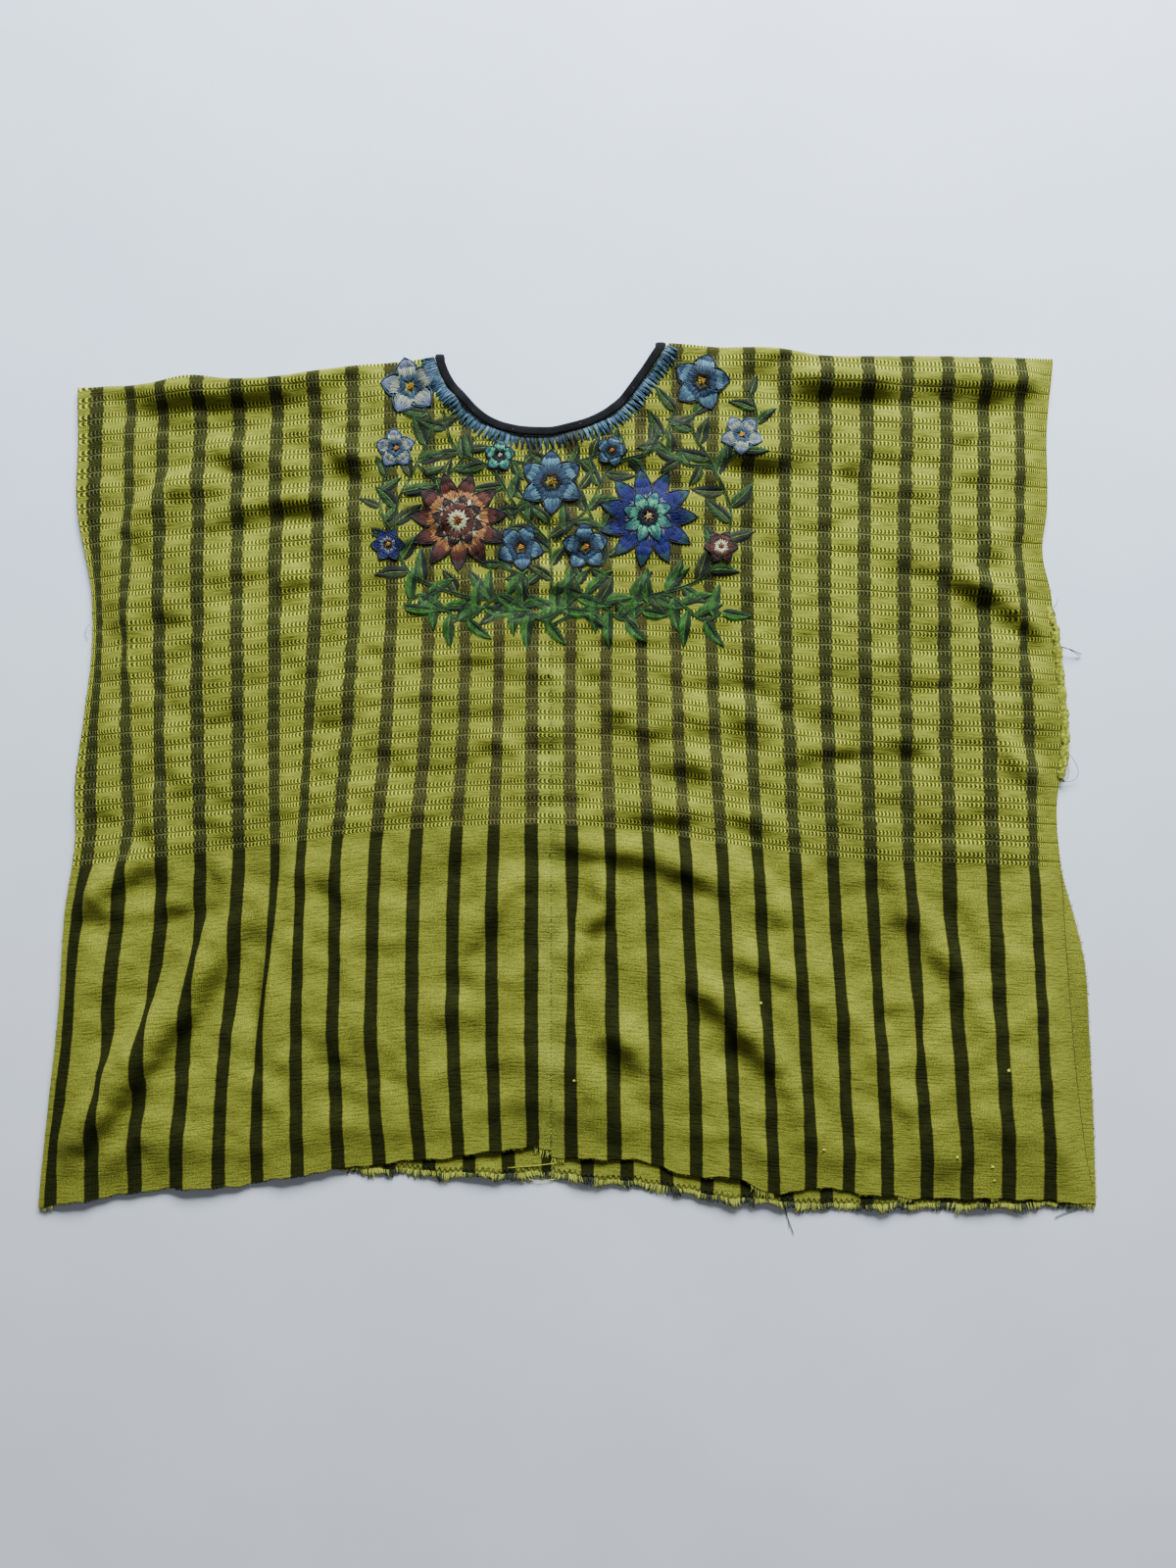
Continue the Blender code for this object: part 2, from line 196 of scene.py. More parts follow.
# Finer creases between them: (start x, start y, end x, end y, width, height); troughs are below 0
creases = [
    # left skirt
    (-260, -114, -288, -170, 12, 7), (-288, -170, -322, -206, 12, 8), (-322, -206, -352, -250, 12, 7),
    (-352, -250, -382, -288, 11, 6), (-246, -138, -264, -178, 12, -7), (-268, -186, -302, -218, 12, -7),
    (-308, -226, -334, -254, 12, -7), (-340, -260, -370, -290, 11, -6),
    (-298, -124, -330, -170, 10, -4.5), (-334, -176, -360, -216, 10, -4.5), (-370, -97, -344, -74, 10, 5.5),
    (-344, -74, -320, -56, 9, 4), (-320, -52, -316, -16, 8, 3.5), (-372, -40, -334, -30, 11, -5),
    (-344, -98, -308, -93, 9, -4.5), (-386, -119, -330, -115, 9, -3), (-322, -113, -276, -107, 8, -3),
    (-302, -84, -306, -104, 7, 3), (-266, -58, -258, -106, 9, 3.5), (-168, -26, -184, -96, 8, 4),
    (-194, -84, -182, -96, 7, -3), (-172, -128, -166, -182, 8, 3), (-202, -224, -142, -232, 8, -1.8),
    (-204, -62, -222, -112, 7, 4), (-222, -112, -236, -214, 7, 3.5), (-231, -120, -245, -200, 7, -3),
    (-314, -252, -356, -308, 10, 4.5), (-334, -284, -322, -308, 9, -3.5), (-244, -236, -216, -262, 9, 3),
    # either side of the seam
    (4, -66, -36, -62, 8, -2.5), (-56, -70, -98, -80, 9, -2.5), (-102, -84, -150, -92, 9, -2.5),
    (-46, -80, -78, -130, 10.5, 2.5), (-62, -124, -48, -146, 9, -2.5), (-96, -161, -68, -164, 8, -2.5),
    (-112, -184, -62, -178, 10.5, 2.5), (-114, -248, -94, -222, 9, 2.5), (-62, -228, -44, -240, 9, -2),
    (-96, -246, -80, -260, 9, -2), (-104, -200, -84, -212, 9, -2), (-48, -150, -38, -164, 8, 2),
    (12, -30, 96, -36, 10.5, -2.5), (100, -22, 142, -44, 11.5, -3), (8, -54, 62, -60, 9, 2.5),
    (62, -60, 126, -82, 10.5, 3), (26, -66, 60, -74, 8, -2.5), (60, -76, 126, -95, 9, -2.5),
    (26, -66, 27, -98, 7.5, 5.5), (27, -98, 12, -122, 7.5, 5.5), (12, -122, 6, -154, 7.5, 4.5),
    (5, -78, 9, -108, 9, -3.5), (29, -108, 34, -148, 10.5, -4.5), (10, -164, 46, -200, 12.5, 2.5),
    (46, -200, 62, -236, 10.5, 3), (18, -206, 40, -216, 10.5, -2.5), (36, -218, 48, -242, 10.5, -2.5),
    (14, -220, 26, -256, 9, 2.5), (78, -196, 90, -232, 10.5, 2.5), (18, -276, 58, -280, 10.5, 2.5),
    # right skirt
    (98, -156, 128, -180, 10.5, 3), (128, -180, 146, -212, 10.5, 3), (108, -146, 142, -158, 10.5, -3),
    (142, -158, 176, -168, 10.5, -3), (176, -168, 200, -197, 10.5, -3), (90, -174, 122, -196, 10.5, -3),
    (122, -204, 140, -222, 10.5, -3), (150, -76, 171, -120, 9, 2.5), (184, -136, 208, -172, 10.5, 3),
    (208, -172, 236, -206, 10.5, 3), (236, -206, 246, -234, 9, 2.5), (248, -238, 272, -270, 9, 2.5),
    (246, -42, 252, -104, 10.5, 3), (252, -104, 284, -122, 9, 2.5), (284, -122, 298, -156, 9, 3),
    (298, -156, 324, -198, 9, 2.5), (130, -166, 152, -222, 10.5, 3), (166, -226, 184, -276, 9, 2.5),
    (194, -224, 211, -260, 9, 2.5), (176, -238, 202, -268, 9, -3), (192, -62, 213, -88, 10.5, -3),
    (204, -114, 215, -136, 9, -2.5), (284, -86, 302, -118, 10.5, -2.5), (306, -82, 322, -132, 9, 1.5),
    (360, -50, 364, -136, 11.5, -2.5), (370, -216, 376, -286, 11.5, -2.5), (216, -268, 220, -302, 10.5, -2.5),
    (240, -186, 256, -196, 9, -2.5), (282, -292, 300, -318, 10.5, 2.5), (296, -196, 310, -216, 9, -2),
    (130, -112, 156, -116, 9, -2.5), (134, -62, 162, -70, 9, -3), (130, -38, 158, -50, 9, -3),
    # left shoulder
    (-322, 297, -262, 296, 12, 6), (-262, 296, -214, 304, 11, 6), (-322, 272, -288, 264, 10, -5),
    (-288, 264, -240, 271, 10, -6), (-236, 272, -212, 276, 9, -5), (-210, 302, -180, 304, 10, 5),
    (-204, 274, -178, 272, 9, -5), (-290, 245, -320, 227, 8, -5), (-320, 227, -352, 202, 8, -4.5),
    (-288, 237, -308, 216, 9, 4.5), (-308, 216, -334, 196, 9, 4), (-280, 251, -236, 253, 9, 3.5),
    (-232, 258, -184, 248, 8, -5), (-184, 257, -158, 246, 8, 4), (-276, 234, -244, 234, 6, -3.5),
    (-272, 200, -238, 210, 9, 5), (-236, 212, -184, 214, 9, 5), (-272, 185, -244, 189, 8, -5),
    (-242, 191, -214, 196, 8, -5), (-212, 197, -184, 198, 8, -4.5), (-196, 230, -144, 226, 8, -4),
    (-182, 204, -142, 196, 10, 4), (-322, 110, -282, 116, 8, -5), (-298, 130, -280, 126, 8, -4.5),
    (-316, 106, -314, 50, 9, -5), (-338, 24, -338, -20, 9, -5), (-300, 22, -300, -6, 9, 4.5),
    (-332, 152, -342, 70, 8, 3.5), (-372, 178, -356, 162, 8, -4), (-346, 176, -328, 176, 7, -3),
    (-225, 146, -200, 159, 7, 4), (-360, 194, -352, 188, 6, -3), (-180, 74, -186, 40, 9, 3),
    (-352, 60, -350, 26, 9, 3), (-272, 118, -274, 62, 10, 2.5),
    # middle, below the embroidery
    (104, 30, 158, 25, 9, -5.5), (18, 36, 72, 28, 8, -3.5), (74, 17, 118, 5, 9, 4.5),
    (84, -8, 104, -17, 8, -4.5), (124, 55, 142, 48, 8, 3.5), (-36, 20, 6, 18, 8, -2.5),
    (36, 60, 48, 44, 8, 3),
    # right shoulder
    (176, 304, 250, 303, 10, 5), (280, 300, 372, 303, 10, 5), (176, 283, 240, 282, 9, -4),
    (248, 286, 284, 290, 8, -3.5), (284, 279, 372, 277, 10, -3.5), (224, 314, 270, 316, 7, -4),
    (176, 306, 206, 312, 8, 4), (132, 228, 172, 230, 8, -5), (114, 247, 184, 251, 9, 4.5),
    (262, 151, 306, 144, 9, -4), (306, 144, 344, 116, 10, -4.5), (344, 116, 366, 86, 9, -4),
    (296, 160, 340, 132, 8, 4.5), (340, 132, 376, 104, 8, 4), (345, 190, 356, 158, 8, -5),
    (352, 154, 364, 124, 8, -4), (220, 31, 276, 28, 8, 3), (250, 15, 272, 6, 8, -4),
    (164, 6, 206, 6, 7, -4), (196, 15, 238, 14, 7, -4), (126, 66, 176, 58, 7, -3.5),
    (160, 55, 176, 46, 8, -3.5), (180, 47, 206, 30, 8, -3.5), (334, 35, 350, 0, 8, 4),
    (350, 37, 374, 6, 9, -4.5), (138, 117, 176, 104, 8, -3.5), (184, 108, 210, 107, 7, -3.5),
    (326, 200, 330, 168, 8, 3), (186, 170, 206, 150, 9, -3), (216, 250, 222, 236, 8, 2.5),
]


def smoothCurve(rows, at):
    keys, values = np.array(sorted((row[0], row[1]) for row in rows), float).T
    slopes = np.gradient(values, keys)
    at = np.clip(at, keys[0], keys[-1])
    i = np.clip(np.searchsorted(keys, at) - 1, 0, len(keys) - 2)
    step = keys[i + 1] - keys[i]
    t = (at - keys[i]) / step
    start = (1 + 2 * t) * (1 - t) ** 2 * values[i] + t * (1 - t) ** 2 * step * slopes[i]
    end = t * t * (3 - 2 * t) * values[i + 1] + t * t * (t - 1) * step * slopes[i + 1]
    return start + end


def ease(t):
    t = np.clip(t, 0, 1)
    return t * t * (3 - 2 * t)


def unit(vectors):
    return vectors / np.linalg.norm(vectors, axis=-1, keepdims=True)


def leftOf(way):  # a quarter turn to the left
    return np.stack([-way[..., 1], way[..., 0]], axis=-1)


def heading(angle):
    return np.array([np.cos(angle), np.sin(angle)])


def softNoise(shape, size, seed):  # smooth noise of about -1 to 1, with features size cells wide
    field = np.fft.rfft2(np.random.default_rng(seed).standard_normal(shape))
    rows = np.fft.fftfreq(shape[0])[:, None]
    columns = np.fft.rfftfreq(shape[1])[None, :]
    field *= np.exp(-((rows * size[1]) ** 2 + (columns * size[0]) ** 2) * 5)
    field = np.fft.irfft2(field, shape)
    return field / (2.5 * field.std())


def addFold(height, gridX, gridY, row):
    startX, startY, endX, endY, bow, width, peak = row
    start, end = np.array([startX, startY], float), np.array([endX, endY], float)
    way = end - start
    t = np.linspace(0, 1, 13)[:, None]
    middle = (start + end) / 2 + 2 * bow * leftOf(way) / np.hypot(*way)
    line = (1 - t) ** 2 * start + 2 * t * (1 - t) * middle + t * t * end
    low, high = line.min(axis=0) - 3 * width, line.max(axis=0) + 3 * width
    c0, c1 = np.searchsorted(gridX, (low[0], high[0]))
    r0, r1 = np.searchsorted(gridY, (low[1], high[1]))
    x, y = gridX[None, c0:c1], gridY[r0:r1, None]
    nearest = np.full((r1 - r0, c1 - c0), np.inf)
    along = np.zeros_like(nearest)
    for i, (a, b) in enumerate(zip(line[:-1], line[1:])):
        run = b - a
        part = np.clip(((x - a[0]) * run[0] + (y - a[1]) * run[1]) / (run @ run), 0, 1)
        away = np.hypot(x - a[0] - part * run[0], y - a[1] - part * run[1])
        closer = away < nearest
        nearest = np.where(closer, away, nearest)
        along = np.where(closer, (i + part) / 12, along)
    taper = 0.35 + 0.65 * np.sin(np.pi * along)
    height[r0:r1, c0:c1] += peak * taper * np.exp(-((nearest / width) ** 2))


def hemRipple(x):  # the cut edge isn't quite straight
    return 0.5 * np.sin(x / 2.9 + 2 * np.sin(x / 31)) + 0.6 * np.sin(x / 7.3 + 1.5 * np.sin(x / 47))


def hemPuff(x):  # how far the hem stands off the board
    return 1.6 + 1.3 * np.sin(x / 17 + 1.3 * np.sin(x / 41)) + 0.4 * np.sin(x / 6.1)


def clothLength(x, y):  # how far down the cloth a place on the front lies, in millimetres
    edge = smoothCurve(outline["brocadeEdge"], x)
    top = smoothCurve(outline["weftTop"], x)
    upper = cloth["brocadeLength"] * (top - y) / (top - edge)
    return np.where(y > edge, upper, cloth["brocadeLength"] + (edge - y) * 1.02)


def smoothed(field, size):  # a blur size cells wide
    rows = np.fft.fftfreq(field.shape[0])[:, None]
    columns = np.fft.rfftfreq(field.shape[1])[None, :]
    blur = np.exp(-2 * (np.pi * size) ** 2 * (rows ** 2 + columns ** 2))
    return np.fft.irfft2(np.fft.rfft2(field) * blur, field.shape)


rumple = {  # the front between the charted folds
    "ridgeLimit": 11,
    "troughLimit": 4.5,
    "swells": (0.75, (34, 26)),  # height, then size across and down
    "lumps": (1.75, (16, 12)),
    "puckers": (0.36, (7, 6)),
    "moreLumps": 0.7,  # added in the brocade
    "morePuckers": 0.24,
    "bandHeight": 0.22,
    "bandShift": 11.5,
    "bandPatches": (30, 9),
    "seamDepth": 0.9,
    "seamReach": 4.5,
    "hemReach": 26,
}


def makeRelief():  # height of the front layer above where it would touch the back, every millimetre
    gridX, gridY = np.arange(-420, 421.0), np.arange(-345, 346.0)
    height = np.zeros((len(gridY), len(gridX)))
    for row in folds:
        addFold(height, gridX, gridY, row)
    for *line, width, peak in creases:
        peak *= cloth["ridgeGain"] if peak > 0 else cloth["troughGain"]
        addFold(height, gridX, gridY, (*line, 0, width * cloth["creaseSoft"], peak))
    height -= smoothed(height, cloth["swell"])
    limit = np.where(height > 0, rumple["ridgeLimit"], rumple["troughLimit"])
    height = limit * np.tanh(height / limit)
    x, y = gridX[None, :], gridY[:, None]
    swells, lumps, puckers = (
        softNoise(height.shape, rumple[kind][1], seed)
        for kind, seed in (("swells", 3), ("lumps", 4), ("puckers", 5))
    )
    upper = ease((y - smoothCurve(outline["brocadeEdge"], x)) / 12)
    height += cloth["bodyLift"] + rumple["swells"][0] * swells
    height += (rumple["lumps"][0] + rumple["moreLumps"] * upper) * lumps
    height += (rumple["puckers"][0] + rumple["morePuckers"] * upper) * puckers
    fromEnd = cloth["brocadeLength"] - clothLength(x, y) - rumple["bandShift"]
    bands = np.cos(2 * np.pi * fromEnd / cloth["bandPitch"])
    height += upper * rumple["bandHeight"] * bands * (1 + softNoise(height.shape, rumple["bandPatches"], 6))
    seam = np.exp(-((x - cloth["seamX"]) / rumple["seamReach"]) ** 2)
    height -= seam * (rumple["seamDepth"] + 0.25 * np.sin(y / 4.2))
    isLeft = x < cloth["seamX"]
    side, hem = (
        np.where(isLeft, smoothCurve(outline["left" + edge], at), smoothCurve(outline["right" + edge], at))
        for edge, at in (("Side", y), ("Hem", x))
    )
    inside = ease(abs(x - side) / cloth["edgeEase"])
    aboveHem = ease((y - hem) / cloth["hemEase"])
    height = np.maximum(height, 0.05) * (0.1 + 0.9 * inside) * (0.03 + 0.97 * aboveHem)
    height += hemPuff(x) * (1 - ease((y - hem) / rumple["hemReach"])) * inside
    return gridX, gridY, height


reliefX, reliefY, relief = makeRelief()


def frontLift(x, y):  # the relief read at any place
    column = np.clip(np.asarray(x) - reliefX[0], 0, len(reliefX) - 1.001)
    row = np.clip(np.asarray(y) - reliefY[0], 0, len(reliefY) - 1.001)
    c, r = column.astype(int), row.astype(int)
    u, v = column - c, row - r
    near = relief[r, c] * (1 - u) + relief[r, c + 1] * u
    far = relief[r + 1, c] * (1 - u) + relief[r + 1, c + 1] * u
    return near * (1 - v) + far * v


def frontTop(x, y):
    return cloth["frontRest"] + cloth["wall"] / 2 + frontLift(x, y)


print("relief of the front:", round(float(relief.max()), 1), "mm at the highest fold")


def srgb(red, green, blue):
    values = np.array([red, green, blue]) / 255
    return tuple(np.where(values <= 0.04045, values / 12.92, ((values + 0.055) / 1.055) ** 2.4))


def gridMesh(name, points, uv=None, closeRows=False, closeColumns=False):
    rows, columns = points.shape[:2]
    index = np.arange(rows * columns).reshape(rows, columns)
    below = np.roll(index, -1, axis=0) if closeRows else index[1:]
    index = index if closeRows else index[:-1]
    right, belowRight = np.roll(index, -1, axis=1), np.roll(below, -1, axis=1)
    quads = np.stack([index, right, belowRight, below], axis=-1)
    quads = quads if closeColumns else quads[:, :-1]
    mesh = bpy.data.meshes.new(name)
    mesh.from_pydata(points.reshape(-1, 3) * mm, [], quads.reshape(-1, 4).tolist())
    if uv is not None:
        layer = mesh.uv_layers.new(name="clothMap")
        corner = np.empty(len(mesh.loops), np.int32)
        mesh.loops.foreach_get("vertex_index", corner)
        layer.data.foreach_set("uv", (uv.reshape(-1, 2)[corner] * mm).ravel())
    return mesh


def addObject(name, mesh, *materials):
    piece = bpy.data.objects.new(name, mesh)
    bpy.context.scene.collection.objects.link(piece)
    for material in materials:
        mesh.materials.append(material)
    return piece


def bakeModifiers(piece):  # leaves a plain mesh
    bpy.context.view_layer.update()
    graph = bpy.context.evaluated_depsgraph_get()
    mesh = bpy.data.meshes.new_from_object(piece.evaluated_get(graph))
    piece.modifiers.clear()
    piece.data = mesh
    return piece


# Shader helpers

def newMaterial(name, roughness, sheen=0.0, sheenRoughness=0.5, sheenTint=(1, 1, 1)):
    made = bpy.data.materials.new(name)
    made.use_nodes = True
    shader = made.node_tree.nodes["Principled BSDF"]
    shader.inputs["Roughness"].default_value = roughness
    shader.inputs["Sheen Weight"].default_value = sheen
    shader.inputs["Sheen Roughness"].default_value = sheenRoughness
    shader.inputs["Sheen Tint"].default_value = (*sheenTint, 1)
    shader.inputs["Specular IOR Level"].default_value = 0.25
    return made, made.node_tree, shader


def put(tree, socket, value):
    if isinstance(value, bpy.types.NodeSocket):
        tree.links.new(value, socket)
    elif isinstance(value, tuple) and len(value) == 3 and socket.type == "RGBA":
        socket.default_value = (*value, 1)
    else:
        socket.default_value = value


def calc(tree, operation, *values):
    node = tree.nodes.new("ShaderNodeMath")
    node.operation = operation
    for socket, value in zip(node.inputs, values):
        put(tree, socket, value)
    return node.outputs[0]


def blendColour(tree, share, first, second, mode="MIX"):
    node = tree.nodes.new("ShaderNodeMix")
    node.data_type = "RGBA"
    node.blend_type = mode
    put(tree, node.inputs["Factor"], share)
    put(tree, node.inputs["A"], first)
    put(tree, node.inputs["B"], second)
    return node.outputs["Result"]


def spread(tree, value, fromLow, fromHigh, toLow=0.0, toHigh=1.0):
    node = tree.nodes.new("ShaderNodeMapRange")
    node.interpolation_type = "SMOOTHSTEP"
    for socket, given in zip(node.inputs, (value, fromLow, fromHigh, toLow, toHigh)):
        put(tree, socket, given)
    return node.outputs["Result"]


def noise(tree, place, scale, detail=2.0, rough=0.5, stretch=None):
    if stretch:
        mapping = tree.nodes.new("ShaderNodeMapping")
        mapping.inputs["Scale"].default_value = stretch
        tree.links.new(place, mapping.inputs["Vector"])
        place = mapping.outputs["Vector"]
    node = tree.nodes.new("ShaderNodeTexNoise")
    tree.links.new(place, node.inputs["Vector"])
    node.inputs["Scale"].default_value = scale
    node.inputs["Detail"].default_value = detail
    node.inputs["Roughness"].default_value = rough
    return node.outputs["Fac"]


def mathIn(tree):  # the commonest sums of one tree
    return [partial(calc, tree, operation) for operation in ("ADD", "SUBTRACT", "MULTIPLY")]


def objectPlace(tree):
    return tree.nodes.new("ShaderNodeTexCoord").outputs["Object"]


def splitPlace(tree, place):
    parts = tree.nodes.new("ShaderNodeSeparateXYZ")
    tree.links.new(place, parts.inputs["Vector"])
    return parts.outputs


def shaded(tree, colour, amount):  # a colour made darker or lighter
    grey = tree.nodes.new("ShaderNodeCombineColor")
    for socket in grey.inputs:
        tree.links.new(amount, socket)
    return blendColour(tree, 1.0, colour, grey.outputs["Color"], "MULTIPLY")


def finishSurface(tree, shader, colour, height=None, strength=0.0, distance=0.0):
    tree.links.new(colour, shader.inputs["Base Color"])
    if height is not None:
        bump = tree.nodes.new("ShaderNodeBump")
        bump.inputs["Strength"].default_value = strength
        bump.inputs["Distance"].default_value = distance
        tree.links.new(height, bump.inputs["Height"])
        tree.links.new(bump.outputs["Normal"], shader.inputs["Normal"])


def shaderGroup(name, inputs, outputs):
    group = bpy.data.node_groups.new(name, "ShaderNodeTree")
    for label, kind, value in inputs:
        socket = group.interface.new_socket(label, in_out="INPUT", socket_type=kind)
        if value is not None:
            socket.default_value = value
    for label, kind in outputs:
        group.interface.new_socket(label, in_out="OUTPUT", socket_type=kind)
    return group, group.nodes.new("NodeGroupInput").outputs, group.nodes.new("NodeGroupOutput").inputs


def useGroup(tree, group, **values):
    node = tree.nodes.new("ShaderNodeGroup")
    node.node_tree = group
    for label, value in values.items():
        put(tree, node.inputs[label], value)
    return node.outputs


def makeLoomGroup():  # stripes, plain ribs and brocaded bands from cloth coordinates in metres
    sizes = {
        "StripePitch": cloth["stripePitch"], "StripeWidth": cloth["stripeWidth"], "FirstStripe": 14.0,
        "BrocadeLength": cloth["brocadeLength"], "BandPitch": cloth["bandPitch"],
        "DotPitch": cloth["dotPitch"],
    }
    masks = ("Stripe", "Brocade", "Dot", "Line", "Hole", "Rib", "Rim", "Seam", "Height")
    group, given, out = shaderGroup(
        "loomPattern",
        [("Place", "NodeSocketVector", None)]
        + [(label, "NodeSocketFloat", value) for label, value in sizes.items()],
        [(label, "NodeSocketFloat") for label in masks],
    )
    add, subtract, times = mathIn(group)
    place = given["Place"]
    parts = splitPlace(group, place)
    u = times(parts["X"], 1000.0)
    v = calc(group, "ABSOLUTE", times(parts["Y"], 1000.0))

    # The stripes sway a little, and their edges are rougher in the brocade
    sway = times(subtract(noise(group, place, 90.0, 3.0, 0.6), 0.5), 1.5)
    wander = times(subtract(noise(group, place, 22.0, 2.0, 0.5), 0.5), 2.2)
    jagged = noise(group, place, 330.0, 1.0, 0.5, (0.25, 1.0, 1.0))
    fine = subtract(noise(group, place, 900.0, 1.0), 0.5)
    fromStripe = subtract(add(u, add(sway, wander)), given["FirstStripe"])
    apart = calc(group, "PINGPONG", fromStripe, times(given["StripePitch"], 0.5))
    brocadeEnd = subtract(given["BrocadeLength"], v)
    brocade = spread(group, add(brocadeEnd, times(fine, 2.0)), -0.6, 0.6)
    edge = times(given["StripeWidth"], 0.5)
    edge = add(edge, times(spread(group, jagged, 0.25, 0.75, -0.7, 0.7), brocade))
    stripe = spread(group, apart, subtract(edge, 0.6), add(edge, 0.6), 1.0, 0.0)
    among = times(calc(group, "GREATER_THAN", u, 4.0), calc(group, "LESS_THAN", u, 400.0))
    stripe = times(stripe, among)
    rim = spread(group, apart, subtract(edge, 3.0), subtract(edge, 1.0))

    # Each brocaded band has two rows of dots with a line between them
    inBand = calc(group, "MODULO", add(brocadeEnd, given["BandPitch"]), given["BandPitch"])
    inBand = add(inBand, times(sway, 0.3))
    turn = times(calc(group, "DIVIDE", u, given["DotPitch"]), 2 * np.pi)
    turn = add(turn, times(fine, 0.9))
    dots, holes = [], []
    for level in (1.9, 6.9):
        near = calc(group, "ABSOLUTE", subtract(inBand, level))
        phase = calc(group, "COSINE", add(turn, times(near, 0.7)))
        across = spread(group, near, 1.0, 2.1, 1.0, 0.0)
        dots.append(times(across, spread(group, phase, 0.15, 0.85)))
        holes.append(times(across, spread(group, phase, 0.25, -0.45)))
    dot = times(calc(group, "MAXIMUM", *dots), brocade)
    shadedHole = times(calc(group, "MAXIMUM", *holes), brocade)
    fromMiddle = calc(group, "ABSOLUTE", subtract(inBand, 4.4))
    line = times(spread(group, fromMiddle, 0.3, 0.75, 1.0, 0.0), brocade)

    rib = spread(group, noise(group, place, 640.0, 2.0, 0.6, (0.12, 1.0, 1.0)), 0.16, 0.62)
    warp = times(calc(group, "SINE", times(u, 2 * np.pi / 0.95)), 0.18)
    height = add(times(rib, 0.5), warp)
    height = add(height, times(dot, 0.9))
    height = subtract(height, times(shadedHole, 0.8))
    height = subtract(height, times(line, 0.7))
    seam = spread(group, u, 8.0, 12.0, 1.0, 0.0)
    for label, value in zip(masks, (stripe, brocade, dot, line, shadedHole, rib, rim, seam, height)):
        group.links.new(value, out[label])
    return group


clothColours = {
    "lime": srgb(126, 128, 43),
    "limeUpper": srgb(126, 129, 44),
    "limeShade": srgb(92, 94, 28),
    # limeDotHighlight: the brocade floats' lighter thread, with a painted highlight on their raised tops
    "limeDotHighlight": srgb(188, 192, 58),
    # shadedHole: painted shade for the holes between the brocade's floats, where the ground dips
    "shadedHole": srgb(40, 43, 6),
    "seamLime": srgb(136, 143, 58),
    "stripe": srgb(36, 39, 7),
    "stripeShade": srgb(11, 12, 2),
    "brocadeStripe": srgb(56, 58, 23),
    "fadedStripe": srgb(74, 70, 34),  # near the seam
    "brocadeThread": srgb(130, 134, 74),
}


def makeClothMaterial(side, loom):
    made, tree, shader = newMaterial("stripedCotton_" + side, 0.95, 0.0)
    shader.inputs["Specular IOR Level"].default_value = 0.1
    add, _, times = mathIn(tree)
    colours = clothColours
    uv = tree.nodes.new("ShaderNodeUVMap")
    uv.uv_map = "clothMap"
    place = uv.outputs["UV"]
    pattern = useGroup(
        tree, loom, Place=place, StripePitch=cloth["stripePitch"], StripeWidth=cloth["stripeWidth"],
        FirstStripe=cloth["firstStripe"][side], BrocadeLength=cloth["brocadeLength"],
    )
    broad = noise(tree, place, 9.0, 4.0, 0.55)
    speckle = noise(tree, place, 950.0, 2.0, 0.6)
    slub = noise(tree, place, 160.0, 2.0, 0.6, (1.0, 3.5, 1.0))

    # The lime ground
    light = blendColour(tree, pattern["Brocade"], colours["lime"], colours["limeUpper"])
    light = blendColour(tree, pattern["Rib"], colours["limeShade"], light)
    light = blendColour(tree, times(pattern["Seam"], 0.28), light, colours["seamLime"])
    # The sunk line between the dot rows gets the holes' painted shade at half strength
    light = blendColour(tree, times(pattern["Line"], 0.5), light, colours["shadedHole"])
    # The raised floats: their lighter thread, with a painted highlight
    light = blendColour(tree, pattern["Dot"], light, colours["limeDotHighlight"])
    # Painted shade in the holes between the brocade's floats
    light = blendColour(tree, times(pattern["Hole"], 0.85), light, colours["shadedHole"])

    # The dark stripes, half covered by the brocade's threads and faded near the seam
    faded = spread(tree, splitPlace(tree, place)["X"], 0.07, 0.19, 1.0, 0.0)
    worn = blendColour(tree, faded, colours["brocadeStripe"], colours["fadedStripe"])
    thread = blendColour(tree, speckle, colours["stripe"], colours["brocadeThread"])
    rimDots = times(pattern["Dot"], spread(tree, pattern["Rim"], 0, 1, 0.5, 1.0))
    hidden = times(pattern["Brocade"], spread(tree, speckle, 0.3, 0.7, 0.25, 0.95))
    dark = blendColour(tree, pattern["Rib"], colours["stripeShade"], colours["stripe"])
    dark = blendColour(tree, hidden, dark, worn)
    # Painted shade in the brocade's holes on the stripes as well
    dark = blendColour(tree, times(pattern["Hole"], 0.5), dark, colours["stripeShade"])
    dark = blendColour(tree, rimDots, dark, thread)
    dark = blendColour(tree, times(pattern["Line"], 0.25), dark, colours["brocadeThread"])

    colour = blendColour(tree, pattern["Stripe"], light, dark)
    tone = add(spread(tree, broad, 0.3, 0.7, 0.8, 1.1), spread(tree, slub, 0.3, 0.7, -0.07, 0.07))
    grain = spread(tree, pattern["Brocade"], 0, 1, 0.8, 0.5)
    grain = times(spread(tree, speckle, 0.3, 0.7, -0.5, 0.5), grain)
    colour = shaded(tree, colour, add(tone, grain))
    finishSurface(tree, shader, colour, add(pattern["Height"], times(speckle, 0.32)), 0.55, 0.0009)
    return made


loomPattern = makeLoomGroup()
clothMaterials = {side: makeClothMaterial(side, loomPattern) for side in ("left", "right")}

panels = {
    "left": {
        "node": "panel_left", "sign": -1, "shoulder": "leftShoulder", "side": "leftSide",
        "hem": "leftHem", "backSide": "leftSide", "backHem": "leftBackHem", "flatWidth": 397.0,
        "flatLength": 1255.0,
    },
    "right": {
        "node": "panel_right", "sign": 1, "shoulder": "rightShoulder", "side": "rightSide",
        "hem": "rightHem", "backSide": "rightSideBack", "backHem": "rightBackHem", "flatWidth": 423.0,
        "flatLength": 1305.0,
    },
}


